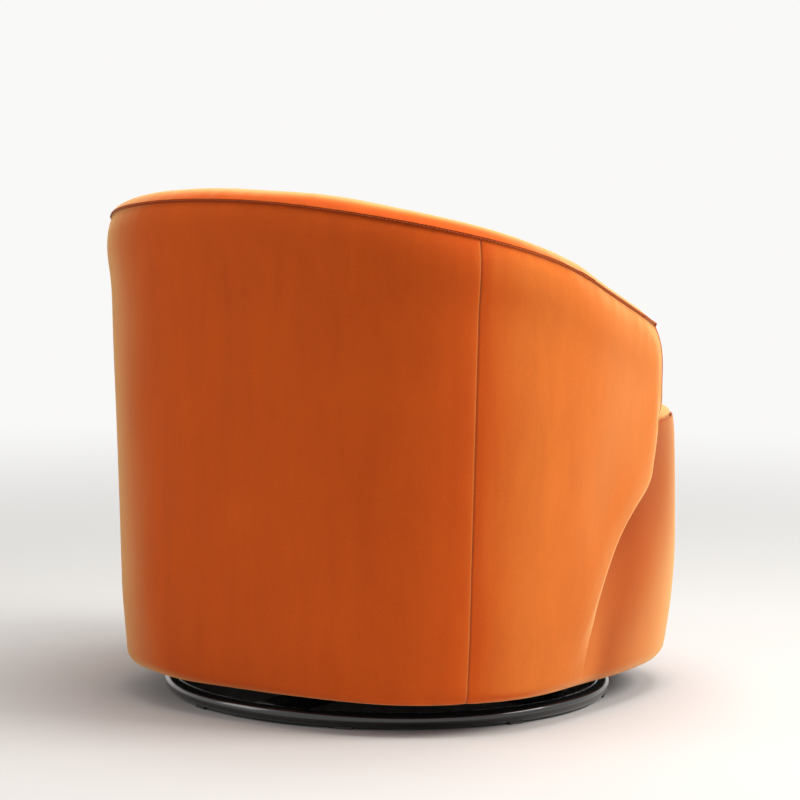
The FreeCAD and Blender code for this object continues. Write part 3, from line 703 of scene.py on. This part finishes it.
velvet = {
    "deep": (0.53, 0.068, 0.0062, 1), "lit": (0.78, 0.122, 0.0125, 1),        # the velvet's own colour, varied by the pile tone
    "sideLightDeep": (0.56, 0.118, 0.014, 1), "sideLightBright": (0.80, 0.200, 0.030, 1),   # painted light: paler, yellower colour for faces turned to the sides and up, towards the lamps
    "sideLightFrom": 0.76, "sideLightTo": 0.97,
    "seam": (0.24, 0.024, 0.003, 1), "seamShare": 0.7,
    # painted shade colour for the hollow in front of the crease
    "hollow": (0.34, 0.042, 0.0040, 1), "hollowShare": 0.86,
    # painted sheen: a pale colour mixed in where the surface is seen edge-on
    "paintedSheen": (0.94, 0.52, 0.20, 1), "paintedSheenShare": 0.78, "paintedSheenFrom": 0.40, "paintedSheenTo": 1.0,
    "shader": {"Roughness": 0.86, "Specular IOR Level": 0.12, "Sheen Weight": 0.55,
               "Sheen Roughness": 0.36, "Sheen Tint": (1.0, 0.70, 0.36, 1)},
    "thread": 0.0011, "bump": (0.30, 0.0006), "rough": (0.78, 0.95), "grain": 520.0, "patch": 5.5,
    "pileShare": 0.45, "patchShare": 0.25, "grainShare": 0.30, "toneRange": (0.36, 0.64, 0.24, 0.82),
}


def makeVelvet():
    v = velvet
    made, tree, shader = newMaterial("velvet", v["shader"])
    pile = useGroup(tree, pileGroup, {"Thread": v["thread"]})
    grain = useGroup(tree, grainGroup, {"Scale": v["grain"], "Patch Scale": v["patch"]})
    tone = weighted(tree, (pile.outputs["Tone"], v["pileShare"]), (grain.outputs["Patches"], v["patchShare"]),
                    (grain.outputs["Grain"], v["grainShare"]))
    tone = ranged(tree, tone, *v["toneRange"])
    faceWay = addNode(tree, "ShaderNodeTexCoord").outputs["Normal"]
    facing = addNode(tree, "ShaderNodeSeparateXYZ", None, {0: faceWay})
    # painted light: faces turned to the sides and up, where the lamps fall, are mixed towards a paler,
    # yellower colour
    litSideShare = maths(tree, "MAXIMUM", maths(tree, "ABSOLUTE", facing.outputs[0]), facing.outputs[2])
    litSideShare = ranged(tree, litSideShare, v["sideLightFrom"], v["sideLightTo"], easing="SMOOTHSTEP")
    colour = mixColour(tree, litSideShare, mixColour(tree, tone, v["deep"], v["lit"]),
                       mixColour(tree, tone, v["sideLightDeep"], v["sideLightBright"]))
    # painted sheen: the colour turns pale towards the parts of the surface seen edge-on
    sheenEdgeOn = addNode(tree, "ShaderNodeLayerWeight", None, {"Blend": 0.5}).outputs["Facing"]
    sheenEdgeOn = ranged(tree, sheenEdgeOn, v["paintedSheenFrom"], v["paintedSheenTo"], 0.0, v["paintedSheenShare"], "SMOOTHSTEP")
    colour = mixColour(tree, sheenEdgeOn, colour, v["paintedSheen"])
    # painted shade: the front panel darkens in the hollow in front of the crease
    hollowShade = addNode(tree, "ShaderNodeAttribute", {"attribute_name": "hollowShade"}).outputs["Fac"]
    colour = mixColour(tree, maths(tree, "MULTIPLY", hollowShade, v["hollowShare"]), colour, v["hollow"])
    seamHere = addNode(tree, "ShaderNodeAttribute", {"attribute_name": "seam"}).outputs["Fac"]
    colour = mixColour(tree, maths(tree, "MULTIPLY", seamHere, v["seamShare"]), colour, v["seam"])
    tree.links.new(colour, shader.inputs["Base Color"])
    addRoughness(tree, shader, pile.outputs["Tone"], *v["rough"])
    addBump(tree, shader, pile.outputs["Height"], *v["bump"])
    return made


thread = {"dark": (0.36, 0.045, 0.007, 1), "pale": (0.62, 0.105, 0.015, 1), "twist": 2600.0}


def makeThread():
    made, tree, shader = newMaterial("thread", {"Roughness": 0.6, "Sheen Weight": 0.2})
    grain = useGroup(tree, grainGroup, {"Scale": thread["twist"], "Patch Scale": 60.0})
    colour = mixColour(tree, grain.outputs["Grain"], thread["dark"], thread["pale"])
    tree.links.new(colour, shader.inputs["Base Color"])
    addBump(tree, shader, grain.outputs["Grain"], 0.5, 0.0002)
    return made


# Plain finishes: two colours, the grain between them, roughness from and to, bump strength and shader values
finishes = {
    "foam": {"colours": [(0.90, 0.84, 0.62, 1), (0.78, 0.68, 0.42, 1)], "grain": 750, "patch": 14,
             "rough": (0.85, 0.98), "bump": (0.8, 0.0012), "shader": {"Specular IOR Level": 0.1}},
    "wadding": {"colours": [(0.86, 0.86, 0.84, 1), (0.95, 0.95, 0.94, 1)], "grain": 320, "patch": 20,
                "rough": (0.9, 1.0), "bump": (0.9, 0.002), "shader": {"Sheen Weight": 0.5}},
    "fibreboard": {"colours": [(0.50, 0.37, 0.22, 1), (0.34, 0.24, 0.14, 1)], "grain": 480, "patch": 30,
                   "rough": (0.6, 0.85), "bump": (0.35, 0.0004), "shader": {}},
    "felt": {"colours": [(0.34, 0.33, 0.31, 1), (0.16, 0.16, 0.16, 1)], "grain": 260, "patch": 42,
             "rough": (0.9, 1.0), "bump": (0.9, 0.0015), "shader": {"Sheen Weight": 0.4}},
    "spring_steel": {"colours": [(0.26, 0.25, 0.24, 1), (0.42, 0.41, 0.40, 1)], "grain": 700, "patch": 16,
                     "rough": (0.25, 0.5), "bump": (0.12, 0.0002), "shader": {"Metallic": 1.0}},
    "zinc_plate": {"colours": [(0.60, 0.62, 0.64, 1), (0.74, 0.74, 0.72, 1)], "grain": 240, "patch": 55,
                   "rough": (0.22, 0.42), "bump": (0.10, 0.0002), "shader": {"Metallic": 1.0}},
    "bearing_steel": {"colours": [(0.72, 0.72, 0.74, 1), (0.80, 0.80, 0.80, 1)], "grain": 500, "patch": 80,
                      "rough": (0.06, 0.16), "bump": (0.03, 0.0001), "shader": {"Metallic": 1.0}},
    "black_plastic": {"colours": [(0.022, 0.022, 0.023, 1), (0.038, 0.037, 0.036, 1)], "grain": 1600,
                      "patch": 40, "rough": (0.45, 0.65), "bump": (0.35, 0.0002), "shader": {}},
    "black_enamel": {"colours": [(0.0065, 0.0065, 0.007, 1), (0.011, 0.011, 0.012, 1)], "grain": 210,
                     "patch": 12, "rough": (0.10, 0.24), "bump": (0.05, 0.0003),
                     "shader": {"Coat Weight": 0.6, "Coat Roughness": 0.06}},
}


def makeFinish(name, values):
    made, tree, shader = newMaterial(name, values["shader"])
    grain = useGroup(tree, grainGroup, {"Scale": values["grain"], "Patch Scale": values["patch"]})
    tone = weighted(tree, (grain.outputs["Grain"], 0.45), (grain.outputs["Patches"], 0.55))
    tree.links.new(mixColour(tree, tone, *values["colours"]), shader.inputs["Base Color"])
    addRoughness(tree, shader, grain.outputs["Patches"], *values["rough"])
    addBump(tree, shader, grain.outputs["Grain"], *values["bump"])
    return made


plywood = {"face": (0.66, 0.47, 0.27, 1), "dark": (0.36, 0.22, 0.11, 1), "plies": 0.0014}


def makePlywood():
    made, tree, shader = newMaterial("plywood", {"Specular IOR Level": 0.25})
    where = objectPlace(tree, (1, 1, 12))
    figure = noise(tree, where, 6.0, 6.0, 0.6, 1.2).outputs[0]
    parts = addNode(tree, "ShaderNodeSeparateXYZ", None, {0: objectPlace(tree)})
    plies = wave(tree, parts.outputs[2], plywood["plies"])
    tone = weighted(tree, (figure, 0.8), (plies, 0.12))
    tree.links.new(mixColour(tree, tone, plywood["face"], plywood["dark"]), shader.inputs["Base Color"])
    addRoughness(tree, shader, figure, 0.55, 0.8)
    addBump(tree, shader, figure, 0.3, 0.0004)
    return made


woven = {
    "webbing": {"yarn": 0.0022, "colours": [(0.030, 0.028, 0.026, 1), (0.14, 0.13, 0.12, 1)], "bump": 0.7},
    "lining": {"yarn": 0.0016, "colours": [(0.010, 0.010, 0.011, 1), (0.034, 0.034, 0.036, 1)], "bump": 0.45},
}


def makeWoven(name, values):
    made, tree, shader = newMaterial(name, {"Specular IOR Level": 0.25})
    parts = addNode(tree, "ShaderNodeSeparateXYZ", None, {0: objectPlace(tree)})
    warp = wave(tree, maths(tree, "ADD", parts.outputs[0], parts.outputs[2]), values["yarn"])
    weft = wave(tree, maths(tree, "SUBTRACT", parts.outputs[1], parts.outputs[2]), values["yarn"])
    grid = maths(tree, "MULTIPLY", warp, weft)
    grain = useGroup(tree, grainGroup, {"Scale": 800.0, "Patch Scale": 18.0})
    tone = maths(tree, "ADD", maths(tree, "MULTIPLY", grid, 0.3), grain.outputs["Patches"])
    tree.links.new(mixColour(tree, tone, *values["colours"]), shader.inputs["Base Color"])
    addRoughness(tree, shader, grain.outputs["Grain"], 0.7, 0.95)
    addBump(tree, shader, maths(tree, "ADD", grid, grain.outputs["Grain"]), values["bump"], 0.0004)
    return made


materials = {name: makeFinish(name, values) for name, values in finishes.items()}
materials.update({name: makeWoven(name, values) for name, values in woven.items()})
materials["plywood"] = makePlywood()
materials["velvet"] = makeVelvet()
materials["thread"] = makeThread()
for name, node in nodes.items():
    node.data.materials.clear()
    node.data.materials.append(materials[slotOf[name]])
print("materials made:", len(materials))


# Covers: each panel of the skin becomes its own cloth with thickness

covers = {
    "backCover": {"replaces": ["back_cover", "outer_wadding"], "fill": 0.7},
    "sideCoverLeft": {"replaces": ["side_cover_left"], "fill": 0.7},
    "sideCoverRight": {"replaces": ["side_cover_right"], "fill": 0.7},
    "frontCover": {"replaces": ["front_cover", "front_pad"], "fill": 0.8},
    "rimBand": {"replaces": ["rim_band_cover", "rim_foam"], "fill": 0.9},
    "innerBack": {"replaces": ["inner_back_cover", "back_foam"], "fill": 0.85},
    "innerArmLeft": {"replaces": ["inner_arm_cover_left", "arm_foam_left"], "fill": 0.85},
    "innerArmRight": {"replaces": ["inner_arm_cover_right", "arm_foam_right"], "fill": 0.85},
    "armFrontLeft": {"replaces": ["arm_front_cover_left", "arm_front_pad_left"], "fill": 0.85},
    "armFrontRight": {"replaces": ["arm_front_cover_right", "arm_front_pad_right"], "fill": 0.85},
}
clothThickness = 0.002


def pointValues(data, label, values):
    attribute = data.attributes.new(label, "FLOAT", "POINT")
    attribute.data.foreach_set("value", np.asarray(values, np.float32))


def smoothFaces(data):
    data.polygons.foreach_set("use_smooth", [True] * len(data.polygons))


def dress(piece, material, body="chair"):
    piece.data.materials.append(materials[material])
    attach(piece, body)
    return piece


for name, values in covers.items():
    own, quads = np.unique(quadsOf[name], return_inverse=True)
    data = newMesh(name, skin[own], quads.reshape(-1, 4))
    smoothFaces(data)
    pointValues(data, "seam", seamShade[own])
    # point attribute with the painted shade in front of the crease
    pointValues(data, "hollowShade", creaseHollowShade[own])
    cover = newObject(name, data)
    cloth = cover.modifiers.new("clothThickness", "SOLIDIFY")
    cloth.thickness = clothThickness
    cloth.offset = -1
    dress(cover, "velvet")
    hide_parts(*values["replaces"])
print("covers made:", len(covers))


# Seat cushion: closed T-shaped form, remeshed and swollen by cloth simulation

cushion = {
    "voxel": 0.0065, "pressure": 3.2, "frames": 18, "cap": 0.022, "heldRise": 0.002, "fill": 0.92,
    "bottom": 0.330, "lowInset": 0.017, "lowDrop": 0.022, "sideInset": 0.0040, "sideDrop": 0.006,
    "armGap": 0.0004, "gap": 0.0012, "edge": 0.0008, "startCrown": 0.021, "middle": -0.20,
    # share of the crown's height, and how far in along the roll
    "rises": [(0, 0), (0.30, 0.025), (0.52, 0.07), (0.75, 0.18), (0.90, 0.40), (1, 0.8)],
    "unevenSize": 0.14, "seamDepth": 0.0022, "seamWidth": 0.0035, "shadeWidth": 0.0024,
}


def seatOutline(depth, z, backCount=64, frontCount=84):
    y = form["armFrontY"] - cushion["armGap"] - depth
    level = min(z, seam)

    def rear(phi):
        return innerLine(phi, level + 0 * phi) - depth - cushion["gap"]

    def front(phi):
        return frontLine(phi, level + 0 * phi) - depth

    def endOf(line):                             # angle where a line meets the arm fronts
        return float(solveAngle(lambda phi: line(phi) * np.cos(np.radians(phi)) - y, [91.0], [150.0])[0])

    inEnd, outEnd = endOf(rear), endOf(front)
    back = np.linspace(-inEnd, inEnd, backCount)
    face = np.linspace(outEnd, 360 - outEnd, frontCount)
    backLine, faceLine = place(back, rear(back), z), place(face, front(face), z)
    across = np.linspace(0, 1, 10)[1:-1, None]
    rightGap = backLine[-1] + (faceLine[0] - backLine[-1]) * across
    leftGap = faceLine[-1] + (backLine[0] - faceLine[-1]) * across
    return np.concatenate([backLine, rightGap, faceLine, leftGap])


def tubeWall(rings, sides):                      # faces between rings of points that follow each other
    faces = []
    for i in range(0, (rings - 1) * sides, sides):
        for j in range(sides):
            k = (j + 1) % sides
            faces.append([i + j, i + k, i + sides + k, i + sides + j])
    return faces


def tubeFaces(rings, sides):                     # the same, closed at both ends
    last = (rings - 1) * sides
    return tubeWall(rings, sides) + [list(range(sides))[::-1], list(range(last, last + sides))]


def seatStart():
    c = cushion
    rings = [seatOutline(c["lowInset"], c["bottom"]), seatOutline(c["lowInset"], seam - c["lowDrop"]),
             seatOutline(c["sideInset"], seam - c["sideDrop"])]
    for share, sink in c["rises"]:
        rings.append(seatOutline(c["edge"] + sink * form["seatRoll"], seam + share * c["startCrown"]))
    count = len(rings[0])
    middle = np.array([[0, c["middle"], seam + c["startCrown"]], [0, c["middle"], c["bottom"]]])
    points = np.concatenate(rings + [middle])
    top, low = len(rings) * count, len(rings) * count + 1
    last = (len(rings) - 1) * count
    caps = [[last + i, last + (i + 1) % count, top] for i in range(count)]
    caps += [[(i + 1) % count, i, low] for i in range(count)]
    return points, tubeWall(len(rings), count) + caps


def withModifier(points, faces, kind, settings):     # points and faces of a form after one modifier
    trial = newObject("modifierTrial", newMesh("modifierTrial", points, faces))
    modifier = trial.modifiers.new("trial", kind)
    for key, value in settings.items():
        setattr(modifier, key, value)
    made = trial.evaluated_get(bpy.context.evaluated_depsgraph_get())
    out = coordinates(made.data), [list(face.vertices) for face in made.data.polygons]
    bpy.data.objects.remove(trial)
    return out


def outlineAway(points, outline):
    following = np.roll(outline, -1, 0)
    dense = np.concatenate([outline + (following - outline) * t for t in (0, 0.25, 0.5, 0.75)])
    return distanceTo(dense, points)


def makeSeat():
    c = cushion
    points, faces = withModifier(*seatStart(), "REMESH", {"mode": "VOXEL", "voxel_size": c["voxel"]})
    held = np.flatnonzero(points[:, 2] < seam + c["heldRise"])
    points = swell(points, faces, held, c["pressure"], c["frames"], c["cap"])
    points, faces = withModifier(points, faces, "SUBSURF", {"levels": 1})
    data = newMesh("seatCushion", points, faces)
    flat = np.zeros(len(points) * 3)
    data.vertex_normals.foreach_get("vector", flat)
    away = outlineAway(points, seatOutline(c["edge"], seam))
    push = padding["uneven"] * wobble(points, c["unevenSize"], 11) * smooth(away / padding["unevenClear"])
    push -= c["seamDepth"] * np.exp(-(away / c["seamWidth"]) ** 2)
    data.vertices.foreach_set("co", (points + flat.reshape(-1, 3) * push[:, None]).ravel())
    smoothFaces(data)
    pointValues(data, "seam", np.exp(-(away / c["shadeWidth"]) ** 2))
    # no painted crease shade on the seat
    pointValues(data, "hollowShade", 0 * away)
    seat = dress(newObject("seatCushion", data), "velvet")
    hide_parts("seat_cover", "seat_foam")


makeSeat()
print("seat cushion made")


# Stitches lie end to end along each sewn seam

stitching = {"pitch": 0.0056, "length": 0.0043, "thick": 0.00052, "lift": 0.0006,
             "lengths": (0.92, 1.06), "tilt": 0.07, "seatLean": 0.6}


def walk(line, pitch):                           # evenly spaced places and directions along a line of points
    gaps = np.linalg.norm(np.diff(line, axis=0), axis=1)
    run = np.concatenate([[0], np.cumsum(gaps)])
    spots = np.arange(pitch / 2, run[-1], pitch)
    here = np.stack([np.interp(spots, run, line[:, i]) for i in range(3)], 1)
    ahead = np.stack([np.interp(spots + 0.001, run, line[:, i]) for i in range(3)], 1)
    way = ahead - here
    good = np.linalg.norm(way, axis=1) > 1e-6
    return here[good], way[good] / np.linalg.norm(way[good], axis=1, keepdims=True), spots[good]


def capsule(sides=7, rings=(0.12, 0.55, 0.9, 1.0, 0.9, 0.55, 0.12)):
    turns = np.arange(sides) * 2 * math.pi / sides
    points = []
    for i, size in enumerate(rings):
        along = -0.5 + i / (len(rings) - 1)
        for a in turns:
            points.append([along, size * math.cos(a), size * math.sin(a)])
    return np.array(points), tubeFaces(len(rings), sides)


def stitchRow(name, lines):
    shape, shapeFaces = capsule()
    thick = stitching["thick"]
    points, faces = [], []
    draw = np.random.default_rng(len(name))
    for line, up in lines:
        here, way, spots = walk(line, stitching["pitch"])
        run = np.concatenate([[0], np.cumsum(np.linalg.norm(np.diff(line, axis=0), axis=1))])
        lift = np.stack([np.interp(spots, run, up[:, i]) for i in range(3)], 1)
        side = np.cross(lift, way)
        side /= np.linalg.norm(side, axis=1, keepdims=True)
        top = np.cross(way, side)
        size = stitching["length"] * draw.uniform(*stitching["lengths"], len(here))
        tilt = draw.normal(0, stitching["tilt"], len(here))
        for i in range(len(here)):
            ownWay = way[i] + side[i] * tilt[i]
            base = here[i] + top[i] * stitching["lift"]
            faces += [[v + len(points) * len(shape) for v in face] for face in shapeFaces]
            points.append(base + shape[:, :1] * size[i] * ownWay + shape[:, 1:2] * thick * side[i]
                          + shape[:, 2:] * thick * top[i])
    data = newMesh(name, np.concatenate(points), faces)
    smoothFaces(data)
    return dress(newObject(name, data), "thread")


normals = pointNormals(skin, skinQuads)


def seamLines(*names):
    return [(skin[seams[name]], normals[seams[name]]) for name in names]


stitchRow("rimStitches", seamLines("rimOuter", "rimInner"))
stitchRow("backSeamStitches", seamLines("backLeft", "backRight", "innerLeft", "innerRight"))
stitchRow("armFrontStitches", seamLines("armOutLeft", "armOutRight", "armInLeft", "armInRight",
                                        "armTopLeft", "armTopRight"))
frontLineUp = normals[seams["seatFront"]] + [0, 0, stitching["seatLean"]]
stitchRow("seatStitches", [(skin[seams["seatFront"]], frontLineUp)])
print("stitches made")


# Lining under the seat, tacked over the turned-in hem

liningPlan = {"edgeInset": 0.031, "holeHalf": 0.083, "edgeHeight": 0.0436, "plateHeight": 0.0462,
              "sag": 0.0036, "thickness": 0.0005, "pucker": 0.0007, "foldInset": 0.022, "foldWidth": 0.014}
staples = {"girth": 2.22, "pitch": 0.044, "inset": 0.036, "sink": 0.0009, "reach": 0.005, "rise": 0.0022,
           "wire": 0.00042, "uneven": 0.12,
           "bends": [(-1, 1), (-0.97, 0.25), (-0.86, 0), (0, 0), (0.86, 0), (0.97, 0.25), (1, 1)]}
stapleCount = round(staples["girth"] / staples["pitch"])


def makeLining():
    l = liningPlan
    turns = np.linspace(0, 360, 289)[:-1]
    angle = np.radians(turns)
    hole = l["holeHalf"] / np.maximum(np.abs(np.sin(angle)), np.abs(np.cos(angle)))
    edge = plan(turns) - l["edgeInset"]
    shares = np.concatenate([np.linspace(0, 0.86, 26), np.linspace(0.88, 1, 8)])
    rows = []
    for share in shares:
        radius = hole + (edge - hole) * share
        fold = smooth((radius - (edge - l["foldInset"])) / l["foldWidth"])
        z = l["plateHeight"] + (l["edgeHeight"] - l["plateHeight"]) * fold
        z = z - l["sag"] * np.sin(math.pi * share) ** 2 * (0.7 + 0.3 * np.cos(2 * angle + 0.6)) * (1 - fold)
        ripple = np.cos(turns / 360 * 2 * math.pi * stapleCount)
        z = z - l["pucker"] * (0.5 + 0.5 * ripple) * smooth((share - 0.8) / 0.2)
        rows.append(place(turns, radius, z))
    grid = np.stack(rows)
    count = len(turns)
    index = np.arange(grid.shape[0] * count).reshape(-1, count)
    wrapped = np.concatenate([index, index[:, :1]], 1)
    data = newMesh("undersideLining", grid.reshape(-1, 3), gridQuads(wrapped))
    smoothFaces(data)
    lining = newObject("undersideLining", data)
    cloth = lining.modifiers.new("clothThickness", "SOLIDIFY")
    cloth.thickness = l["thickness"]
    cloth.offset = 0
    dress(lining, "lining")
    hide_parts("bottom_lining")


def wire(points, radius, sides=6):               # round wire through points, closed at its ends
    points = np.asarray(points, float)
    way = np.gradient(points, axis=0)
    way /= np.linalg.norm(way, axis=1, keepdims=True)
    first = np.cross(way, [0, 0, 1.0])
    flat = np.linalg.norm(first, axis=1) < 1e-3
    first[flat] = np.cross(way[flat], [1.0, 0, 0])
    first /= np.linalg.norm(first, axis=1, keepdims=True)
    second = np.cross(way, first)
    turns = np.arange(sides) * 2 * math.pi / sides
    radius = np.broadcast_to(radius, len(points))
    rings = [points[i] + radius[i] * (np.cos(turns)[:, None] * first[i] + np.sin(turns)[:, None] * second[i])
             for i in range(len(points))]
    return np.concatenate(rings), tubeFaces(len(rings), sides)


def joined(name, parts):
    points, faces, start = [], [], 0
    for some, own in parts:
        points.append(some)
        faces += [[v + start for v in face] for face in own]
        start += len(some)
    data = newMesh(name, np.concatenate(points), faces)
    smoothFaces(data)
    return newObject(name, data)


def makeStaples():
    s = staples
    z = liningPlan["edgeHeight"] - s["sink"]
    up = np.array([0, 0, s["rise"]])
    draw = np.random.default_rng(3)
    parts = []
    for i in range(stapleCount):
        turn = 360 * (i + draw.uniform(-s["uneven"], s["uneven"])) / stapleCount
        here, ahead = (place(t, plan(t) - s["inset"], z) for t in (turn, turn + 0.5))
        way = (ahead - here) / np.linalg.norm(ahead - here)
        swing = draw.normal(0, s["uneven"])
        reach = (way + np.array([way[1], -way[0], 0]) * swing) * s["reach"]
        parts.append(wire([here + reach * side + up * rise for side, rise in s["bends"]], s["wire"], 5))
    dress(joined("liningStaples", parts), "zinc_plate")


makeLining()
makeStaples()
print("underside made")


# Weld beads on the base: round the ends of the crossed bars and along the middle plate

welds = {
    "ringRadius": 0.311, "tube": 0.011, "ringMiddle": 0.013, "plateHalf": 0.090,
    "barHalf": 0.015, "barTop": 0.024, "barLow": 0.0045,
    "bead": 0.0021, "ripple": 0.22, "ripplePitch": 0.0032, "step": 0.0008, "endShare": 0.6,
    "topGap": 0.0002, "sideSink": 0.0004, "overInset": 0.0035, "overSink": 0.0003, "plateGap": 0.0006,
}


def bead(points):
    w = welds
    here, _, spots = walk(np.asarray(points, float), w["step"])
    size = w["bead"] * (1 + w["ripple"] * np.sin(2 * math.pi * spots / w["ripplePitch"]))
    size[:2] *= w["endShare"]
    size[-2:] *= w["endShare"]
    return wire(here, size, 8)


def barEnd():
    w = welds
    heights = np.linspace(w["barLow"], w["barTop"] - w["topGap"], 16)
    reach = w["ringRadius"] - np.sqrt(np.maximum(w["tube"] ** 2 - (heights - w["ringMiddle"]) ** 2, 0))
    rise = [[w["barHalf"], math.sqrt(r * r - w["barHalf"] ** 2) - w["sideSink"], z]
            for r, z in zip(reach, heights)]
    over = [[x, w["ringRadius"] - w["overInset"], w["barTop"] - w["overSink"]]
            for x in np.linspace(w["barHalf"], -w["barHalf"], 12)]
    fall = [[-x, y, z] for x, y, z in rise[::-1]]
    return rise[:-2] + over + fall[2:]


def plateEdge():
    w = welds
    return [[x, w["plateHalf"] + w["plateGap"], w["barTop"] + w["plateGap"]]
            for x in np.linspace(-w["barHalf"], w["barHalf"], 14)]


def turned(points, angle):
    return np.asarray(points) @ np.array(Matrix.Rotation(angle, 3, "Z").transposed())


beads = [bead(turned(line, i * math.pi / 2)) for i in range(4) for line in (barEnd(), plateEdge())]
dress(joined("baseWelds", beads), "black_enamel", "base")
print("welds made")


# Floor, light and camera

studio = {
    "floor": (0.64, 0.635, 0.625, 1), "floorSize": 300.0,
    "world": (1.0, 0.99, 0.975, 1), "worldStrength": 0.38, "seenStrength": 0.86,
    "key": {"place": (-2.40, -0.92, 2.25), "size": 1.5, "power": 78.0, "colour": (1.0, 0.975, 0.94)},
    "left": {"place": (2.3, 2.0, 1.7), "size": 1.4, "power": 15.0, "colour": (1.0, 0.98, 0.96)},
    "top": {"place": (-0.35, -0.15, 2.9), "size": 1.8, "power": 68.0, "colour": (1.0, 0.985, 0.96)},
    "white": (0.95, 0.945, 0.935, 1), "fadeFrom": 0.75, "fadeTo": 3.2, "aim": (0, 0, 0.35),
}
photoCamera = {"place": (-2.8618, 4.4090, 1.0415), "pitch": -6.775, "yaw": 147.166, "roll": 0.7296,
               "lens": 165.9, "sensor": 36.0, "farClip": 500.0}


def makeFloor():
    half = studio["floorSize"] / 2
    corners = [[-half, -half, 0], [half, -half, 0], [half, half, 0], [-half, half, 0]]
    floor = newObject("studioFloor", newMesh("studioFloor", corners, [[0, 1, 2, 3]]))
    made, tree, shader = newMaterial("studioFloor", {"Specular IOR Level": 0.2, "Roughness": 0.8})
    grain = noise(tree, objectPlace(tree), 1.3, 3.0, 0.5).outputs[0]
    low = tuple(0.97 * c for c in studio["floor"][:3]) + (1,)
    tree.links.new(mixColour(tree, grain, low, studio["floor"]), shader.inputs["Base Color"])
    length = addNode(tree, "ShaderNodeVectorMath", {"operation": "LENGTH"}, {0: objectPlace(tree)})
    fade = ranged(tree, length.outputs["Value"], studio["fadeFrom"], studio["fadeTo"], easing="SMOOTHSTEP")
    seen = maths(tree, "MULTIPLY", fade, addNode(tree, "ShaderNodeLightPath").outputs["Is Camera Ray"])
    white = addNode(tree, "ShaderNodeEmission", None, {"Color": studio["white"]})
    both = addNode(tree, "ShaderNodeMixShader", None, {0: seen, 1: shader.outputs[0], 2: white.outputs[0]})
    output = next(node for node in tree.nodes if node.bl_idname == "ShaderNodeOutputMaterial")
    tree.links.new(both.outputs[0], output.inputs[0])
    floor.data.materials.append(made)


def makeWorld():
    world = bpy.data.worlds.new("studio")
    bpy.context.scene.world = world
    world.use_nodes = True
    tree = world.node_tree
    tree.nodes.clear()
    path = addNode(tree, "ShaderNodeLightPath")
    seen = maths(tree, "MAXIMUM", path.outputs["Is Camera Ray"],
                 maths(tree, "MAXIMUM", path.outputs["Is Glossy Ray"], path.outputs["Is Transmission Ray"]))
    light, shown = (addNode(tree, "ShaderNodeBackground", None,
                            {"Color": studio["world"], "Strength": studio[key]})
                    for key in ("worldStrength", "seenStrength"))
    both = addNode(tree, "ShaderNodeMixShader", None, {0: seen, 1: light.outputs[0], 2: shown.outputs[0]})
    output = tree.nodes.new("ShaderNodeOutputWorld")
    tree.links.new(both.outputs[0], output.inputs[0])


def makeLamp(name):
    values = studio[name]
    lamp = bpy.data.lights.new(name + "Light", "AREA")
    lamp.size = values["size"]
    lamp.energy = values["power"]
    lamp.color = values["colour"]
    holder = newObject(name + "Light", lamp)
    holder.location = values["place"]
    toChair = Vector(studio["aim"]) - holder.location
    holder.rotation_euler = toChair.to_track_quat("-Z", "Y").to_euler()


def makeCamera():
    c = photoCamera
    camera = bpy.data.cameras.new("photoCamera")
    camera.lens = c["lens"]
    camera.sensor_width = c["sensor"]
    camera.clip_end = c["farClip"]
    holder = newObject("photoCamera", camera)
    pitch, yaw, tilt = (math.radians(c[key]) for key in ("pitch", "yaw", "roll"))
    forward = Vector((math.cos(pitch) * math.sin(yaw), math.cos(pitch) * math.cos(yaw), math.sin(pitch)))
    right = forward.cross(Vector((0, 0, 1))).normalized()
    up = right.cross(forward)
    across = right * math.cos(tilt) + up * math.sin(tilt)
    above = up * math.cos(tilt) - right * math.sin(tilt)
    turn = Matrix((across, above, -forward)).transposed().to_4x4()
    holder.matrix_world = Matrix.Translation(c["place"]) @ turn
    bpy.context.scene.camera = holder


makeFloor()
makeWorld()
for name in ("key", "left", "top"):
    makeLamp(name)
makeCamera()
bpy.context.scene.view_settings.view_transform = "Standard"
print("studio made")
